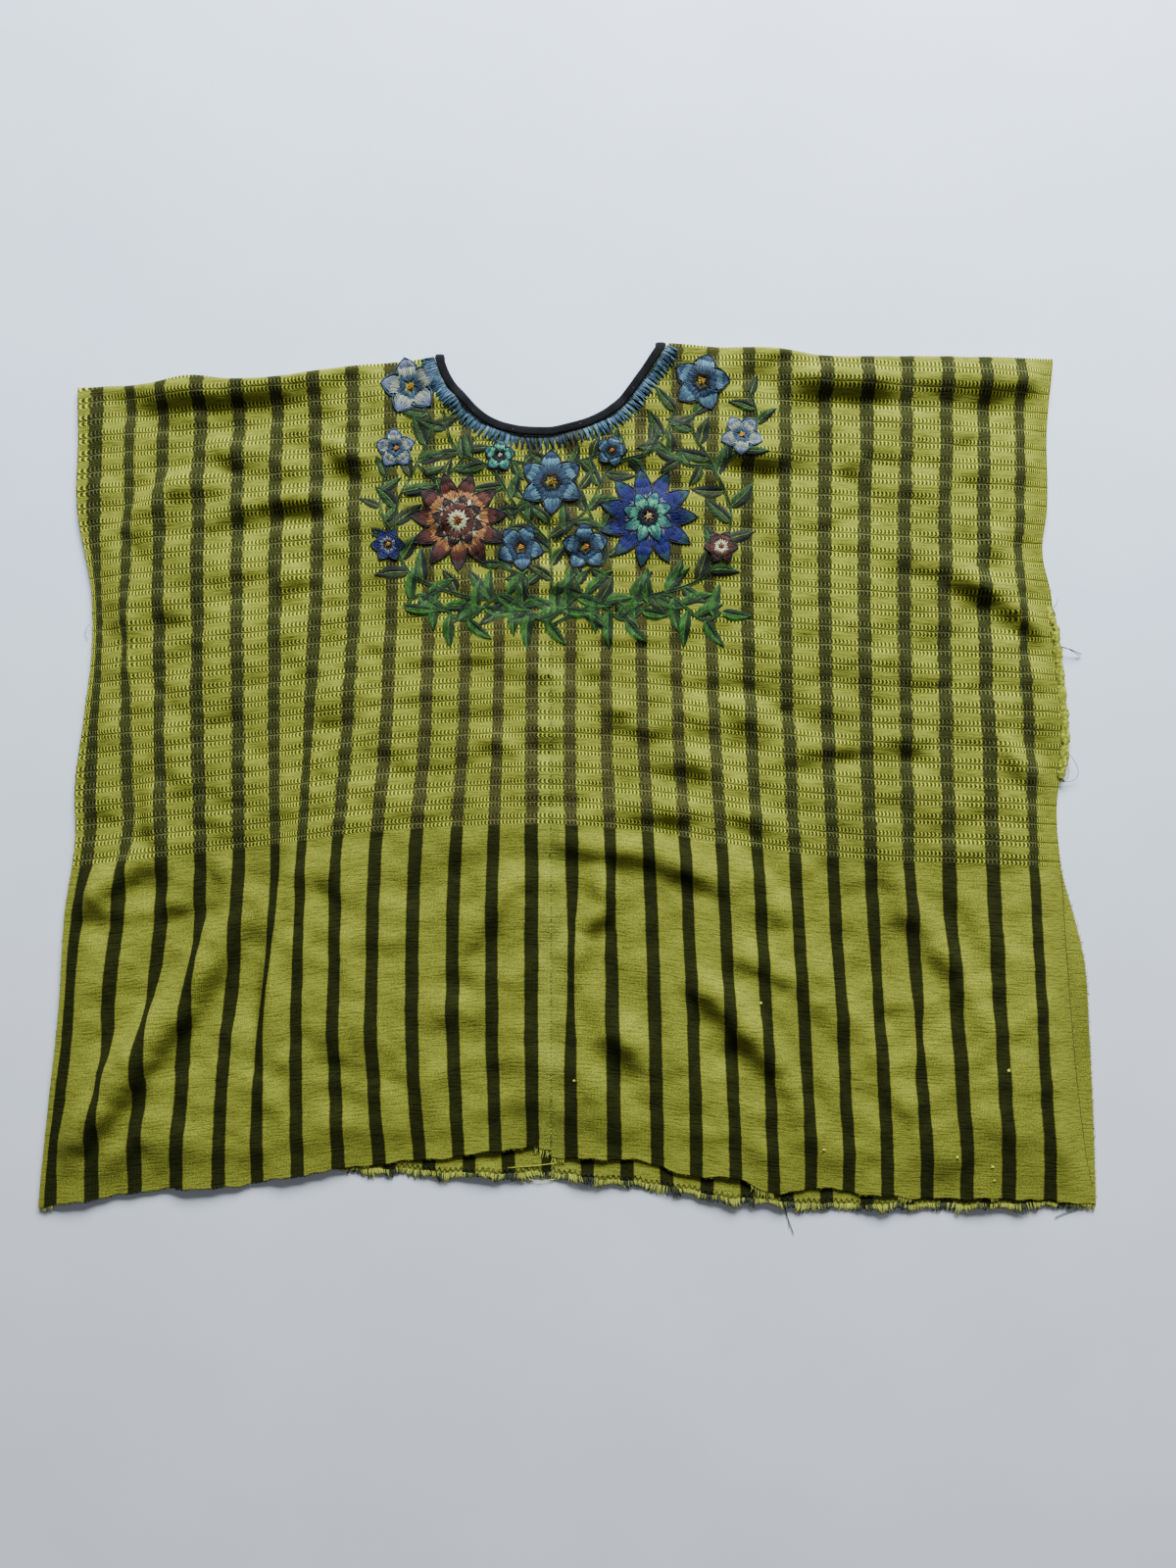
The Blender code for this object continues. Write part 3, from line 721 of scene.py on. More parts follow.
def planPoints(panel, side, hem, across, down):
    x = cloth["seamX"] + across * panel["sign"] * 390
    for _ in range(4):
        top = smoothCurve(outline[panel["shoulder"]], x)
        y = top + down * (smoothCurve(outline[hem], x) + hemRipple(x) - top)
        inner = cloth["seamX"] + panel["sign"] * cloth["seamGap"] / 2
        x = inner + across * (smoothCurve(outline[side], y) - inner)
    return x, y


def stripeGuides(side, y):  # each charted stripe's place at a height, and its distance from the seam
    stripes, rows = stripeRuns[side]["stripes"], stripeRuns[side]["rows"]
    guides = [smoothCurve([(row[0], row[k + 1]) for row in rows], y) for k in range(len(stripes))]
    across = cloth["firstStripe"][side] + cloth["stripePitch"] * (np.array(stripes) - 1)
    return guides, across


def clothAcross(side, panel, x, y, z):  # distance from the seam in the flat cloth, row by row
    u = np.empty_like(x)
    window = 2 * cloth["smoothOver"] + 1
    for r in range(len(x)):
        along = np.concatenate([[0], np.cumsum(np.hypot(np.diff(x[r]), np.diff(z[r])))])
        stops, values = [0.0], [0.0]
        guides, stripeU = stripeGuides(side, y[r])
        for guide, across in zip(guides, stripeU):
            beyond = (x[r] - guide) * panel["sign"]
            stops.append(float(np.interp(0, beyond, along)))
            values.append(across)
        stops.append(along[-1])
        values.append(max(panel["flatWidth"], stripeU[-1] + 3))
        u[r] = np.interp(along, stops, values)
        padded = np.pad(u[r], cloth["smoothOver"], "reflect", reflect_type="odd")
        u[r, 1:-1] = np.convolve(padded, np.ones(window) / window, "valid")[1:-1]
    for stripe, middle, reach, share in pinches[side]:
        away = u - cloth["firstStripe"][side] - cloth["stripePitch"] * (stripe - 1)
        here = (1 / share - 1) * np.exp(-((y - middle) / reach) ** 2)
        u += here * away * np.exp(-((away / cloth["pinchReach"]) ** 2))
    return u


neck = {"points": 120, "runOn": 30, "near": 110, "below": 245}  # where the panels are opened


def curveThrough(keys, points, at):
    return np.stack([smoothCurve(list(zip(keys, column)), at) for column in points.T], axis=-1)


def neckLine(count, trimmed=(0.0, 0.0)):
    keys = np.arange(len(outline["neckCut"]))
    at = np.linspace(trimmed[0], keys[-1] - trimmed[1], count)
    return curveThrough(keys, np.array(outline["neckCut"], float), at)


def cutNeck(mesh):  # opens the neck in a panel and draws the cut edge onto the neck line
    line = neckLine(neck["points"])
    first = line[0] + neck["runOn"] * unit(line[0] - line[1])
    last = line[-1] + neck["runOn"] * unit(line[-1] - line[-2])
    line = np.concatenate([[first], line, [last]])
    run = np.diff(line, axis=0)
    shape = bmesh.new()
    shape.from_mesh(mesh)
    place = np.array([vertex.co[:2] for vertex in shape.verts]) / mm
    near = (abs(place[:, 0] - cloth["seamX"]) < neck["near"]) & (place[:, 1] > neck["below"])
    inside = np.zeros(len(place), bool)
    closest = place.copy()
    for i in np.where(near)[0]:
        away = place[i] - line[:-1]
        part = np.clip((away * run).sum(1) / (run * run).sum(1), 0, 1)
        gap = away - run * part[:, None]
        k = np.argmin((gap * gap).sum(1))
        inside[i] = run[k, 0] * away[k, 1] - run[k, 1] * away[k, 0] > 0
        closest[i] = line[k] + run[k] * part[k]
    shape.verts.ensure_lookup_table()
    uvLayer = shape.loops.layers.uv.active
    targets = {vertex: closest[i] * mm for i, vertex in enumerate(shape.verts) if inside[i]}
    gone = [face for face in shape.faces if all(vertex in targets for vertex in face.verts)]
    bmesh.ops.delete(shape, geom=gone, context="FACES")
    for vertex, target in targets.items():
        if not vertex.is_valid:
            continue
        shift = target - np.array(vertex.co[:2])
        fromSeam = vertex.co.x - cloth["seamX"] * mm
        for loop in vertex.link_loops:
            loop[uvLayer].uv.x += abs(fromSeam + shift[0]) - abs(fromSeam)
            loop[uvLayer].uv.y -= shift[1] * (1 if loop[uvLayer].uv.y > 0 else -1)
        vertex.co.x, vertex.co.y = target
    shape.to_mesh(mesh)
    shape.free()


def makePanel(side, panel):
    columns = int(panel["flatWidth"] / cloth["spacing"])
    across = np.linspace(0, 1, columns + 1)
    frontRows = int(cloth["frontLength"] / cloth["spacing"])
    down = np.linspace(1, 0, frontRows + 1)[:, None] * np.ones(columns + 1)
    x, y = zip(*(planPoints(panel, panel["side"], panel["hem"], across, row) for row in down))
    x, y = np.array(x), np.array(y)
    y = y - cloth["turnReach"] * (1 - down)
    z = cloth["frontRest"] + frontLift(x, y)
    u = clothAcross(side, panel, x, y, z)
    v = clothLength(x, y)
    rows = list(np.stack([x, y, z], axis=-1))
    maps = list(np.stack([u, v], axis=-1))

    # Over the shoulder, then down the back
    topX, topY, topZ, topU, topV = x[-1], y[-1], z[-1], u[-1], v[-1]
    middle, half = (topZ + cloth["backMid"]) / 2, (topZ - cloth["backMid"]) / 2
    for angle in np.linspace(0, np.pi, cloth["turnRows"] + 2)[1:-1]:
        turned = topY + cloth["turnReach"] * np.sin(angle)
        rows.append(np.stack([topX, turned, middle + half * np.cos(angle)], axis=-1))
        maps.append(np.stack([topU, topV * (1 - 2 * angle / np.pi)], axis=-1))
    for share in np.linspace(0, 1, cloth["backRows"]) ** 0.8:
        down = np.full(columns + 1, share)
        x, y = planPoints(panel, panel["backSide"], panel["backHem"], across, down)
        y = y - cloth["turnReach"] * (1 - share)
        toSide = ease(14 * (1 - across))
        z = cloth["backMid"] + hemPuff(x) * toSide * max(0, 1 - (1 - share) * 30)
        rows.append(np.stack([x, y, z], axis=-1))
        atHem = across * panel["flatWidth"] - panel["sign"] * cloth["backShift"]
        u = topU * (1 - share) + atHem * share
        maps.append(np.stack([u, -clothLength(x, y)], axis=-1))
    mesh = gridMesh(panel["node"] + "_cloth", np.array(rows), np.array(maps))
    if panel["sign"] < 0:
        mesh.flip_normals()
    cutNeck(mesh)
    mesh.shade_smooth()
    piece = addObject(panel["node"] + "_cloth", mesh, clothMaterials[side])
    wall = piece.modifiers.new("wall", "SOLIDIFY")
    wall.thickness = cloth["wall"] * mm
    wall.offset = 0
    bakeModifiers(piece)
    piece.data.set_sharp_from_angle(angle=np.radians(cloth["sharpAngle"]))
    return piece


clothPieces = {side: makePanel(side, panel) for side, panel in panels.items()}
for side, piece in clothPieces.items():
    print("cloth", side, len(piece.data.polygons), "faces")

# Neck band
band = {
    "width": 6.6,
    "thick": 2.4,
    "trim": (0.17, 0.13),  # how much of the neck line is left off at each end
    "lean": 14.0,
    "stations": 110,
    "around": 14,
    "clear": 0.5,  # above the cloth
}


def makeVelvet():
    made, tree, shader = newMaterial("blackVelvet", 1.0, 0.28, 0.35, (0.35, 0.35, 0.37))
    place = objectPlace(tree)
    patch = noise(tree, place, 70.0, 3.0)
    colour = blendColour(tree, spread(tree, patch, 0.3, 0.7), srgb(3, 3, 4), srgb(14, 14, 16))
    lint = spread(tree, noise(tree, place, 520.0, 1.0), 0.74, 0.8)
    colour = blendColour(tree, calc(tree, "MULTIPLY", lint, 0.5), colour, srgb(96, 96, 90))
    finishSurface(tree, shader, colour, noise(tree, place, 900.0, 2.0), 0.5, 0.0005)
    return made


def closeTube(mesh, fillEnds=False):  # faces outwards, and shaded smooth
    shape = bmesh.new()
    shape.from_mesh(mesh)
    if fillEnds:
        bmesh.ops.holes_fill(shape, edges=[edge for edge in shape.edges if edge.is_boundary])
    bmesh.ops.recalc_face_normals(shape, faces=shape.faces)
    shape.to_mesh(mesh)
    shape.free()
    mesh.shade_smooth()


def makeBand():
    line = neckLine(band["stations"], band["trim"])
    inward = leftOf(unit(np.gradient(line, axis=0)))
    level = np.zeros_like(inward)
    level[:, 0] = np.sign(inward[:, 0]) / np.maximum(abs(inward[:, 0]), 0.3)
    toEnd = np.minimum(*[np.linalg.norm(line - line[end], axis=1) for end in (0, -1)])
    leaning = ease(1 - toEnd / band["lean"])[:, None]
    side = inward * (1 - leaning) + level * leaning
    middle = line + inward * 0.2 + side * band["width"] / 2
    high = frontLift(*middle.T) + cloth["frontRest"] + band["clear"] + band["thick"] / 2
    low = band["thick"] / 2
    reach = cloth["turnReach"]
    path = [(*p, h, *s, 0, 0, 1) for p, h, s in zip(middle, high, side)]

    def turn(end, order):
        for angle in order:
            x, y = middle[end]
            z = (high[end] + low) / 2 + (high[end] - low) / 2 * np.cos(angle)
            path.append((x, y + reach * np.sin(angle), z, *side[end], 0, np.sin(angle), np.cos(angle)))

    angles = np.linspace(0, np.pi, 9)[1:-1]
    turn(-1, angles)
    path.extend((*p, low, *s, 0, 0, -1) for p, s in zip(middle[::-1], side[::-1]))
    turn(0, angles[::-1])
    path = np.array(path)
    lumps = 1 + 0.05 * np.sin(np.arange(len(path)) * 1.7) + 0.03 * rng.standard_normal(len(path))
    rings = []
    for angle in np.linspace(0, 2 * np.pi, band["around"], endpoint=False):
        across = np.sign(np.cos(angle)) * abs(np.cos(angle)) ** 0.7 * band["width"] / 2
        up = np.sign(np.sin(angle)) * abs(np.sin(angle)) ** 0.8 * band["thick"] / 2 * lumps
        sideways = np.concatenate([path[:, 3:5], np.zeros((len(path), 1))], axis=1)
        rings.append(path[:, :3] + sideways * across + path[:, 5:8] * up[:, None])
    points = np.stack(rings, axis=1)
    points[..., 2] = np.maximum(points[..., 2], 0.05)
    mesh = gridMesh("neck_band_velvet", points, None, True, True)
    closeTube(mesh)
    return addObject("neck_band_velvet", mesh, makeVelvet())


bandPiece = makeBand()
print("neck band")

# Threads: each stitch, fray and loose end is a run of points with a thickness and a colour

flossTones = {
    "rust": srgb(104, 46, 28), "brown": srgb(60, 28, 20), "cream": srgb(248, 242, 176),
    "tan": srgb(206, 140, 76), "black": srgb(10, 10, 14), "orange": srgb(236, 140, 34),
    "royal": srgb(18, 30, 118), "navy": srgb(12, 18, 44), "mint": srgb(104, 206, 160),
    "turquoise": srgb(50, 128, 128), "teal": srgb(26, 76, 90), "steel": srgb(46, 80, 110),
    "lilac": srgb(136, 144, 168), "sky": srgb(102, 146, 166), "darkGreen": srgb(18, 36, 18),
    "green": srgb(58, 102, 38), "lightGreen": srgb(116, 156, 64), "reed": srgb(64, 128, 38),
    "reedLight": srgb(94, 148, 54), "reedDark": srgb(24, 64, 18), "red": srgb(140, 44, 30),
    "olive": srgb(60, 70, 34), "silver": srgb(176, 182, 160),
    "lime": srgb(156, 160, 44), "paleLime": srgb(182, 186, 66), "slub": srgb(186, 188, 62),
    "stripe": srgb(36, 36, 14), "overcastAndShadow": srgb(20, 21, 3), "grey": srgb(70, 80, 72),
}
threadRuns = {}
stitchSink = 0.12  # how far a stitch's ends go into the cloth


def addThread(piece, points, thickness, tone, ends=0.55, vary=0.28):
    colour = np.array(flossTones[tone]) * np.exp(vary * rng.standard_normal())
    points = np.asarray(points, float)
    size = np.full(len(points), thickness / 2)
    size[[0, -1]] *= ends
    threadRuns.setdefault(piece, []).append((points, size, colour))


def stitch(piece, start, end, thickness, tone, lift=0.0, rise=0.35, steps=4):
    t = np.linspace(0, 1, steps)
    x, y = (a + (b - a) * t for a, b in zip(start, end))
    z = frontTop(x, y) + lift + rise * np.sin(np.pi * t) - stitchSink
    addThread(piece, np.stack([x, y, z], axis=-1), thickness, tone)


def makeThreadGroup():
    group = bpy.data.node_groups.new("threadTubes", "GeometryNodeTree")
    for label, kind in (("Runs", "Geometry"), ("Sides", "Int"), ("Material", "Material")):
        group.interface.new_socket(label, in_out="INPUT", socket_type="NodeSocket" + kind)
    group.interface.new_socket("Threads", in_out="OUTPUT", socket_type="NodeSocketGeometry")
    given = group.nodes.new("NodeGroupInput").outputs
    size = group.nodes.new("GeometryNodeInputNamedAttribute")
    size.data_type = "FLOAT"
    size.inputs["Name"].default_value = "thickness"
    circle = group.nodes.new("GeometryNodeCurvePrimitiveCircle")
    circle.inputs["Radius"].default_value = 1
    chain = [group.nodes.new("GeometryNode" + kind) for kind in (
        "MeshToCurve", "SetCurveRadius", "CurveToMesh", "SetShadeSmooth", "RealizeInstances",
        "SetMaterial",
    )]
    toCurve, radius, toMesh, *_, material = chain
    link = group.links.new
    link(given["Runs"], toCurve.inputs["Mesh"])
    for before, after in zip(chain, chain[1:]):
        link(before.outputs[0], after.inputs[0])
    link(size.outputs["Attribute"], radius.inputs["Radius"])
    if "Scale" in toMesh.inputs:
        link(size.outputs["Attribute"], toMesh.inputs["Scale"])
    link(given["Sides"], circle.inputs["Resolution"])
    link(circle.outputs["Curve"], toMesh.inputs["Profile Curve"])
    toMesh.inputs["Fill Caps"].default_value = True
    link(given["Material"], material.inputs["Material"])
    link(material.outputs[0], group.nodes.new("NodeGroupOutput").inputs["Threads"])
    return group


threadTubes = makeThreadGroup()


def makeFloss(name, roughness, sheen, darkest, palest):
    made, tree, shader = newMaterial(name, roughness, sheen, 0.4)
    tint = tree.nodes.new("ShaderNodeAttribute")
    tint.attribute_name = "tint"
    strands = noise(tree, objectPlace(tree), 1500.0, 2.0)
    shade = spread(tree, strands, 0.3, 0.7, darkest, palest)
    finishSurface(tree, shader, shaded(tree, tint.outputs["Color"], shade))
    return made


flossMaterials = {
    "floss": makeFloss("embroideryFloss", 0.6, 0.05, 0.27, 0.58),
    "cotton": makeFloss("cottonThread", 0.9, 0.1, 0.7, 1.05),
}


def makeThreads(piece, material, sides=5):
    places, sizes, colours = zip(*threadRuns[piece])
    counts = [len(points) for points in places]
    ends = np.cumsum(counts)
    edges = [(i, i + 1) for end, count in zip(ends, counts) for i in range(end - count, end - 1)]
    mesh = bpy.data.meshes.new(piece)
    mesh.from_pydata(np.concatenate(places) * mm, edges, [])
    size = mesh.attributes.new("thickness", "FLOAT", "POINT")
    size.data.foreach_set("value", np.concatenate(sizes) * mm)
    tint = mesh.attributes.new("tint", "FLOAT_COLOR", "POINT")
    colours = np.repeat([[*np.clip(colour, 0, 1), 1] for colour in colours], counts, axis=0)
    tint.data.foreach_set("color", colours.ravel())
    made = addObject(piece, mesh)
    tubes = made.modifiers.new("tubes", "NODES")
    tubes.node_group = threadTubes
    for socket in threadTubes.interface.items_tree:
        if socket.name == "Sides":
            tubes[socket.identifier] = sides
        if socket.name == "Material":
            tubes[socket.identifier] = flossMaterials[material]
    bakeModifiers(made)
    triangles = sum(len(face.vertices) - 2 for face in made.data.polygons)
    print("threads", piece, len(counts), "runs", triangles, "triangles")
    return made


# Embroidery: a bloom's tones run from its heart out
bloomKinds = {
    "rust": {
        "tones": ("black", "cream", "tan", "rust", "brown"), "rim": "black", "heart": "orange",
        "vein": "black",
    },
    "wine": {"tones": ("cream", "rust", "brown"), "rim": "black", "heart": "red"},
    "royal": {
        "tones": ("black", "lilac", "royal", "royal", "teal"), "rim": "black", "heart": "orange",
        "vein": "black",
    },
    "sea": {"tones": ("navy", "mint", "turquoise"), "rim": "navy", "heart": "cream"},
    "blue": {
        "tones": ("black", "steel", "sky", "steel"), "rim": "black", "heart": "orange",
        "vein": "navy",
    },
    "pale": {"tones": ("steel", "silver", "lilac"), "rim": "steel", "heart": "orange", "vein": "teal"},
}
blooms = [  # x, y, radius, petals, turn in degrees, kind
    (-84, 196, 38, 11, 8, "rust"), (-84, 196, 20, 8, 30, "wine"), (62, 199, 38, 11, 0, "royal"),
    (62, 199, 20, 8, 25, "sea"), (-12, 226, 25, 6, 30, "blue"), (-36, 176, 18, 5, 60, "blue"),
    (14, 176, 18, 5, 20, "blue"), (-121, 300, 22, 5, 100, "pale"), (103, 303, 22, 5, 75, "blue"),
    (-132, 252, 15, 5, 20, "pale"), (134, 262, 16, 5, 50, "pale"), (-52, 246, 12, 5, 10, "sea"),
    (34, 250, 12, 5, 0, "blue"), (118, 176, 13, 6, 0, "wine"), (-138, 178, 13, 6, 0, "royal"),
]
vines = [  # points of a stem, and the leaves it carries: how far apart, length and width
    (
        [(-12, 116), (-40, 132), (-84, 140), (-124, 160), (-132, 204), (-116, 240), (-104, 270), (-118, 296)],
        13, 27, 10.5,
    ),
    (
        [(-12, 116), (16, 130), (60, 138), (108, 156), (126, 200), (112, 238), (96, 268), (102, 296)],
        13, 27, 10.5,
    ),
    ([(-13, 118), (-12, 150), (-14, 190), (-12, 246)], 11, 24, 9.0),
    ([(-14, 180), (-40, 208), (-58, 236), (-86, 252), (-96, 284)], 11, 24, 9.0),
    ([(-10, 180), (16, 206), (36, 240), (66, 250), (84, 282)], 11, 24, 9.0),
    ([(-126, 176), (-142, 200), (-140, 232), (-132, 246)], 12, 18, 7.0),
    ([(112, 238), (128, 246), (146, 272), (140, 296)], 12, 20, 8.0),
    ([(-60, 244), (-30, 240), (-12, 236), (10, 242), (36, 252)], 9, 17, 8.0),
    ([(-40, 132), (-30, 150), (-52, 164), (-40, 200), (-30, 222)], 9, 18, 8.0),
    ([(16, 130), (8, 152), (30, 166), (18, 200), (10, 222)], 9, 18, 8.0),
    ([(-116, 240), (-98, 228), (-80, 244), (-70, 262)], 9, 18, 8.0),
    ([(112, 238), (90, 240), (70, 256), (60, 262)], 9, 18, 8.0),
]
garland = {  # the running border of leaves under the flowers
    "from": -126, "to": 124, "middle": 130.0, "wave": 10.0, "period": 62.0, "apart": 7.4,
    "leafLong": 27.0, "leafWide": 9.2, "leafTurn": 50, "leafBend": 1.4,
}


def roomOnFront(x, y, margin=6.5):  # clear of the neck edging and of the shoulders
    cut = outline["neckCut"]
    top = smoothCurve(outline["leftShoulder" if x < cloth["seamX"] else "rightShoulder"], x) - 7
    line = neckLine(60)
    clear = np.min(np.hypot(line[:, 0] - x, line[:, 1] - y)) > margin
    inNeck = cut[0][0] < x < cut[-1][0] and y > smoothCurve(cut, x)
    return y < top and clear and not inNeck


def petalPlace(base, tip, width, bend):
    base, tip = np.asarray(base, float), np.asarray(tip, float)
    way = tip - base
    left = leftOf(way) / np.hypot(*way)

    def place(t, side):
        half = width / 2 * np.sin(np.pi * min(max(t, 0.0), 1.0) ** 0.8) ** 0.75
        return base + way * t + left * (side * half + bend * np.sin(np.pi * t))
    return place, np.hypot(*way)


def petal(piece, base, tip, width, tones, rim=None, bend=0.0, lift=0.3, pitch=1.05):
    place, _ = petalPlace(base, tip, width, bend)
    rings = len(tones)
    for ring, tone in enumerate(tones):
        low, high = ring / rings, (ring + 1) / rings
        count = max(3, int(width * np.sin(np.pi * (low + high) / 2 * 0.9) ** 0.75 / pitch))
        for side in np.linspace(-0.9, 0.9, count):
            start = max(low - 0.12 + rng.uniform(-0.05, 0.05), 0.0)
            end = min(high + rng.uniform(-0.04, 0.05), 0.99)
            stitch(piece, place(start, side), place(end, side), 1.0, tone, lift - 0.05 * ring, 0.5)
    if rim:
        edge = [place(t, -1.08) for t in np.linspace(0.12, 1, 7)]
        edge += [place(t, 1.08) for t in np.linspace(0.93, 0.12, 6)]
        for start, end in zip(edge, edge[1:]):
            stitch(piece, start, end + (end - start) * 0.3, 1.3, rim, lift + 0.2, 0.2, 3)


def leaf(piece, base, tip, width, bend, tones, vein="lightGreen", lift=0.1, slant=0.2):
    place, length = petalPlace(base, tip, width, bend)
    for t in np.arange(0.02, 0.95, 1.3 / length):
        for side, tone in ((1, tones[0]), (-1, tones[1])):
            end = place(min(t + slant, 1.0), side)
            stitch(piece, place(t, 0.04 * side), end, 1.05, tone, lift, 0.5, 3)
    for t in np.arange(0, 0.85, 3.2 / length):
        stitch(piece, place(t, 0), place(t + 4.2 / length, 0), 0.6, vein, lift + 0.25, 0.15, 3)


def stemPath(points, apart):  # evenly spaced places along a stem, and which way it runs there
    points = np.array(points, float)
    keys = np.concatenate([[0], np.cumsum(np.hypot(*np.diff(points, axis=0).T))])
    path = curveThrough(keys, points, np.arange(0, keys[-1], apart))
    return path, unit(np.gradient(path, axis=0))


def stem(piece, points, tones=("green", "darkGreen", "green"), wide=2.0, lift=0.25):
    path, way = stemPath(points, 2.6)
    for k, tone in enumerate(tones):
        shifted = path + leftOf(way) * wide * (k / (len(tones) - 1) - 0.5)
        for i in range(len(path) - 2):
            if roomOnFront(*shifted[i]):
                stitch(piece, shifted[i], shifted[i + 2], 0.75, tone, lift, 0.25, 3)


def turned(way, degrees):
    turn = np.radians(degrees)
    return way * np.cos(turn) + leftOf(way) * np.sin(turn)


def makeGreenery():
    for points, apart, long, wide in vines:
        path, way = stemPath(points, apart)
        for i in range(1, len(path)):
            ahead = turned(way[i], (52 if i % 2 else -52) + rng.uniform(-12, 12))
            tip = path[i] + ahead * long * rng.uniform(0.8, 1.1)
            if roomOnFront(*tip, 8) and roomOnFront(*path[i], 8):
                tones = ("green", "darkGreen") if i % 3 else ("olive", "darkGreen")
                leaf("embroidered_leaves", path[i], tip, wide, 1.5 * rng.uniform(-1, 1), tones)
        stem("embroidered_leaves", points)


def makeGarland():
    at = np.arange(garland["from"], garland["to"], 6.0)
    waves = garland["wave"] * np.sin(2 * np.pi * (at - garland["from"]) / garland["period"])
    line = list(zip(at, garland["middle"] + waves))
    path, way = stemPath(line, garland["apart"])
    for i in range(len(path)):
        side = 1 if i % 2 else -1
        ahead = turned(way[i], side * garland["leafTurn"] + rng.uniform(-8, 8))
        tip = path[i] + ahead * garland["leafLong"] * rng.uniform(0.85, 1.1)
        tones = ("reed", "reedDark") if side > 0 else ("reedDark", "reed")
        bend = garland["leafBend"] * side
        leaf("embroidered_border", path[i], tip, garland["leafWide"], bend, tones, "reedLight", 0.15, 0.16)
    stem("embroidered_border", line, ("reedDark", "reed", "reedDark"))


def makeBlooms():
    piece = "embroidered_blooms"
    for x, y, radius, petals, turn, kind in blooms:
        look = bloomKinds[kind]
        middle = np.array([x, y])
        lift = 0.55 if kind not in ("wine", "sea") or radius < 13 else 1.0
        width = 2 * np.pi * radius * 0.62 / petals
        for k in range(petals):
            ahead = heading(np.radians(turn + 360 * k / petals)) * radius
            base, tip = middle + ahead * 0.14, middle + ahead
            petal(piece, base, tip, width, look["tones"], look["rim"], 0.6, lift)
            for t in np.arange(0.3, 0.86, 0.14) if "vein" in look else ():
                start, end = middle + ahead * t, middle + ahead * (t + 0.13)
                stitch(piece, start, end, 0.5, look["vein"], lift + 0.35, 0.15, 3)
        for k in range(9):
            start = middle + 0.5 * np.sqrt(k) * radius / 14 * heading(2.4 * k)
            stitch(piece, start, start + (0.9, 0.5), 1.5, look["heart"], lift + 0.5, 0.35, 3)


makeGreenery()
makeGarland()
makeBlooms()


edging = {  # the fan of long stitches round the neck, darker at the front's middle
    "stitches": 420,
    "trim": (0.1, 0.08),
    "reach": 8.4,
    "zigzag": 2.8,
    "slant": 1.2,
    "thick": (0.95, 1.35),
    "tones": ("steel", "teal", "sky", "steel", "sky"),
    "darkTones": ("olive", "teal", "steel", "darkGreen", "navy"),
    "darkX": -14,
    "darkReach": 26,
}


def makeNeckEdging():
    line = neckLine(edging["stitches"], edging["trim"])
    way = unit(np.gradient(line, axis=0))
    for k, (place, along) in enumerate(zip(line, way)):
        out = -leftOf(along)
        middle = abs(place[0] - edging["darkX"]) < edging["darkReach"]
        tones = edging["darkTones"] if middle else edging["tones"]
        tone = tones[rng.integers(len(tones))]
        zigzag = abs((k / 3) % 2 - 1)
        reach = edging["reach"] + edging["zigzag"] * zigzag + rng.uniform(-0.8, 1.0)
        start = place + out * rng.uniform(0.1, 0.8)
        slant = edging["slant"] * (1 if (k // 3) % 2 else -1) + rng.uniform(-0.9, 0.9)
        end = place + out * reach + along * slant
        stitch("neck_edging", start, end, rng.uniform(*edging["thick"]), tone, 0.25, 0.8)


makeNeckEdging()


def darkAt(x, y):  # whether a place on the front lies on a dark stripe
    side = "left" if x < cloth["seamX"] else "right"
    guides, across = stripeGuides(side, y)
    away = np.abs(np.array([cloth["seamX"], *guides]) - cloth["seamX"])
    first, pitch = cloth["firstStripe"][side], cloth["stripePitch"]
    u = float(np.interp(abs(x - cloth["seamX"]), away, [0, *across]))
    near = abs((u - first + pitch / 2) % pitch - pitch / 2)
    return near < cloth["stripeWidth"] / 2 and u > 4 and abs(x - cloth["seamX"]) < away[-1] + 5


def hemLine(x, back=False):
    left, right = ("leftBackHem", "rightBackHem") if back else ("leftHem", "rightHem")
    return smoothCurve(outline[left if x < cloth["seamX"] else right], x) + hemRipple(x)


tufts = [  # where the front hem frays most: from x, to x, how long
    (-26, -2, 6.5), (141, 160, 7.0), (255, 267, 5.0), (326, 332, 4.0), (402, 410, 5.0), (-406, -398, 3.5),
]
frontHem = {
    "from": -408.5, "to": 409, "apart": 0.85, "long": (0.6, 2.2), "thick": (0.6, 0.9),
    "tones": ["lime", "lime", "paleLime", "olive"], "tuftTones": ["paleLime", "paleLime", "lime"],
}
backHem = {
    "from": -182, "to": 409, "apart": 0.62, "long": (2.6, 6.4), "thick": (0.75, 1.05), "rise": 1.4,
    "lost": 0.16,  # the share of its threads that are gone
    "tones": ["lime", "paleLime", "paleLime", "olive"], "darkTones": ["stripe", "olive", "olive", "lime"],
}
hemOvercast = {"from": -166, "to": 400, "turns": 8, "step": 2.1, "reach": (7.0, 3.6), "thick": 0.62}


def frayFrontHem():
    for x in np.arange(frontHem["from"], frontHem["to"], frontHem["apart"]):
        x += rng.uniform(-0.3, 0.3)
        y = float(hemLine(x))
        tone = "stripe" if darkAt(x, y) else rng.choice(frontHem["tones"])
        long = rng.uniform(*frontHem["long"])
        for start, end, most in tufts:
            if start < x < end:
                long = most * rng.uniform(0.6, 1.25)
                tone = rng.choice([*frontHem["tuftTones"], tone])
        z = cloth["frontRest"] + float(frontLift(x, y))
        sway = rng.uniform(-0.35, 0.35) * long
        points = [
            (x, y + 0.8, z), (x + sway * 0.4, y - long * 0.5, z - 0.1),
            (x + sway, y - long, max(z - 0.5 - 0.12 * long, 0.5)),
        ]
        addThread("hem_frays", points, rng.uniform(*frontHem["thick"]), tone, 0.6, 0.15)


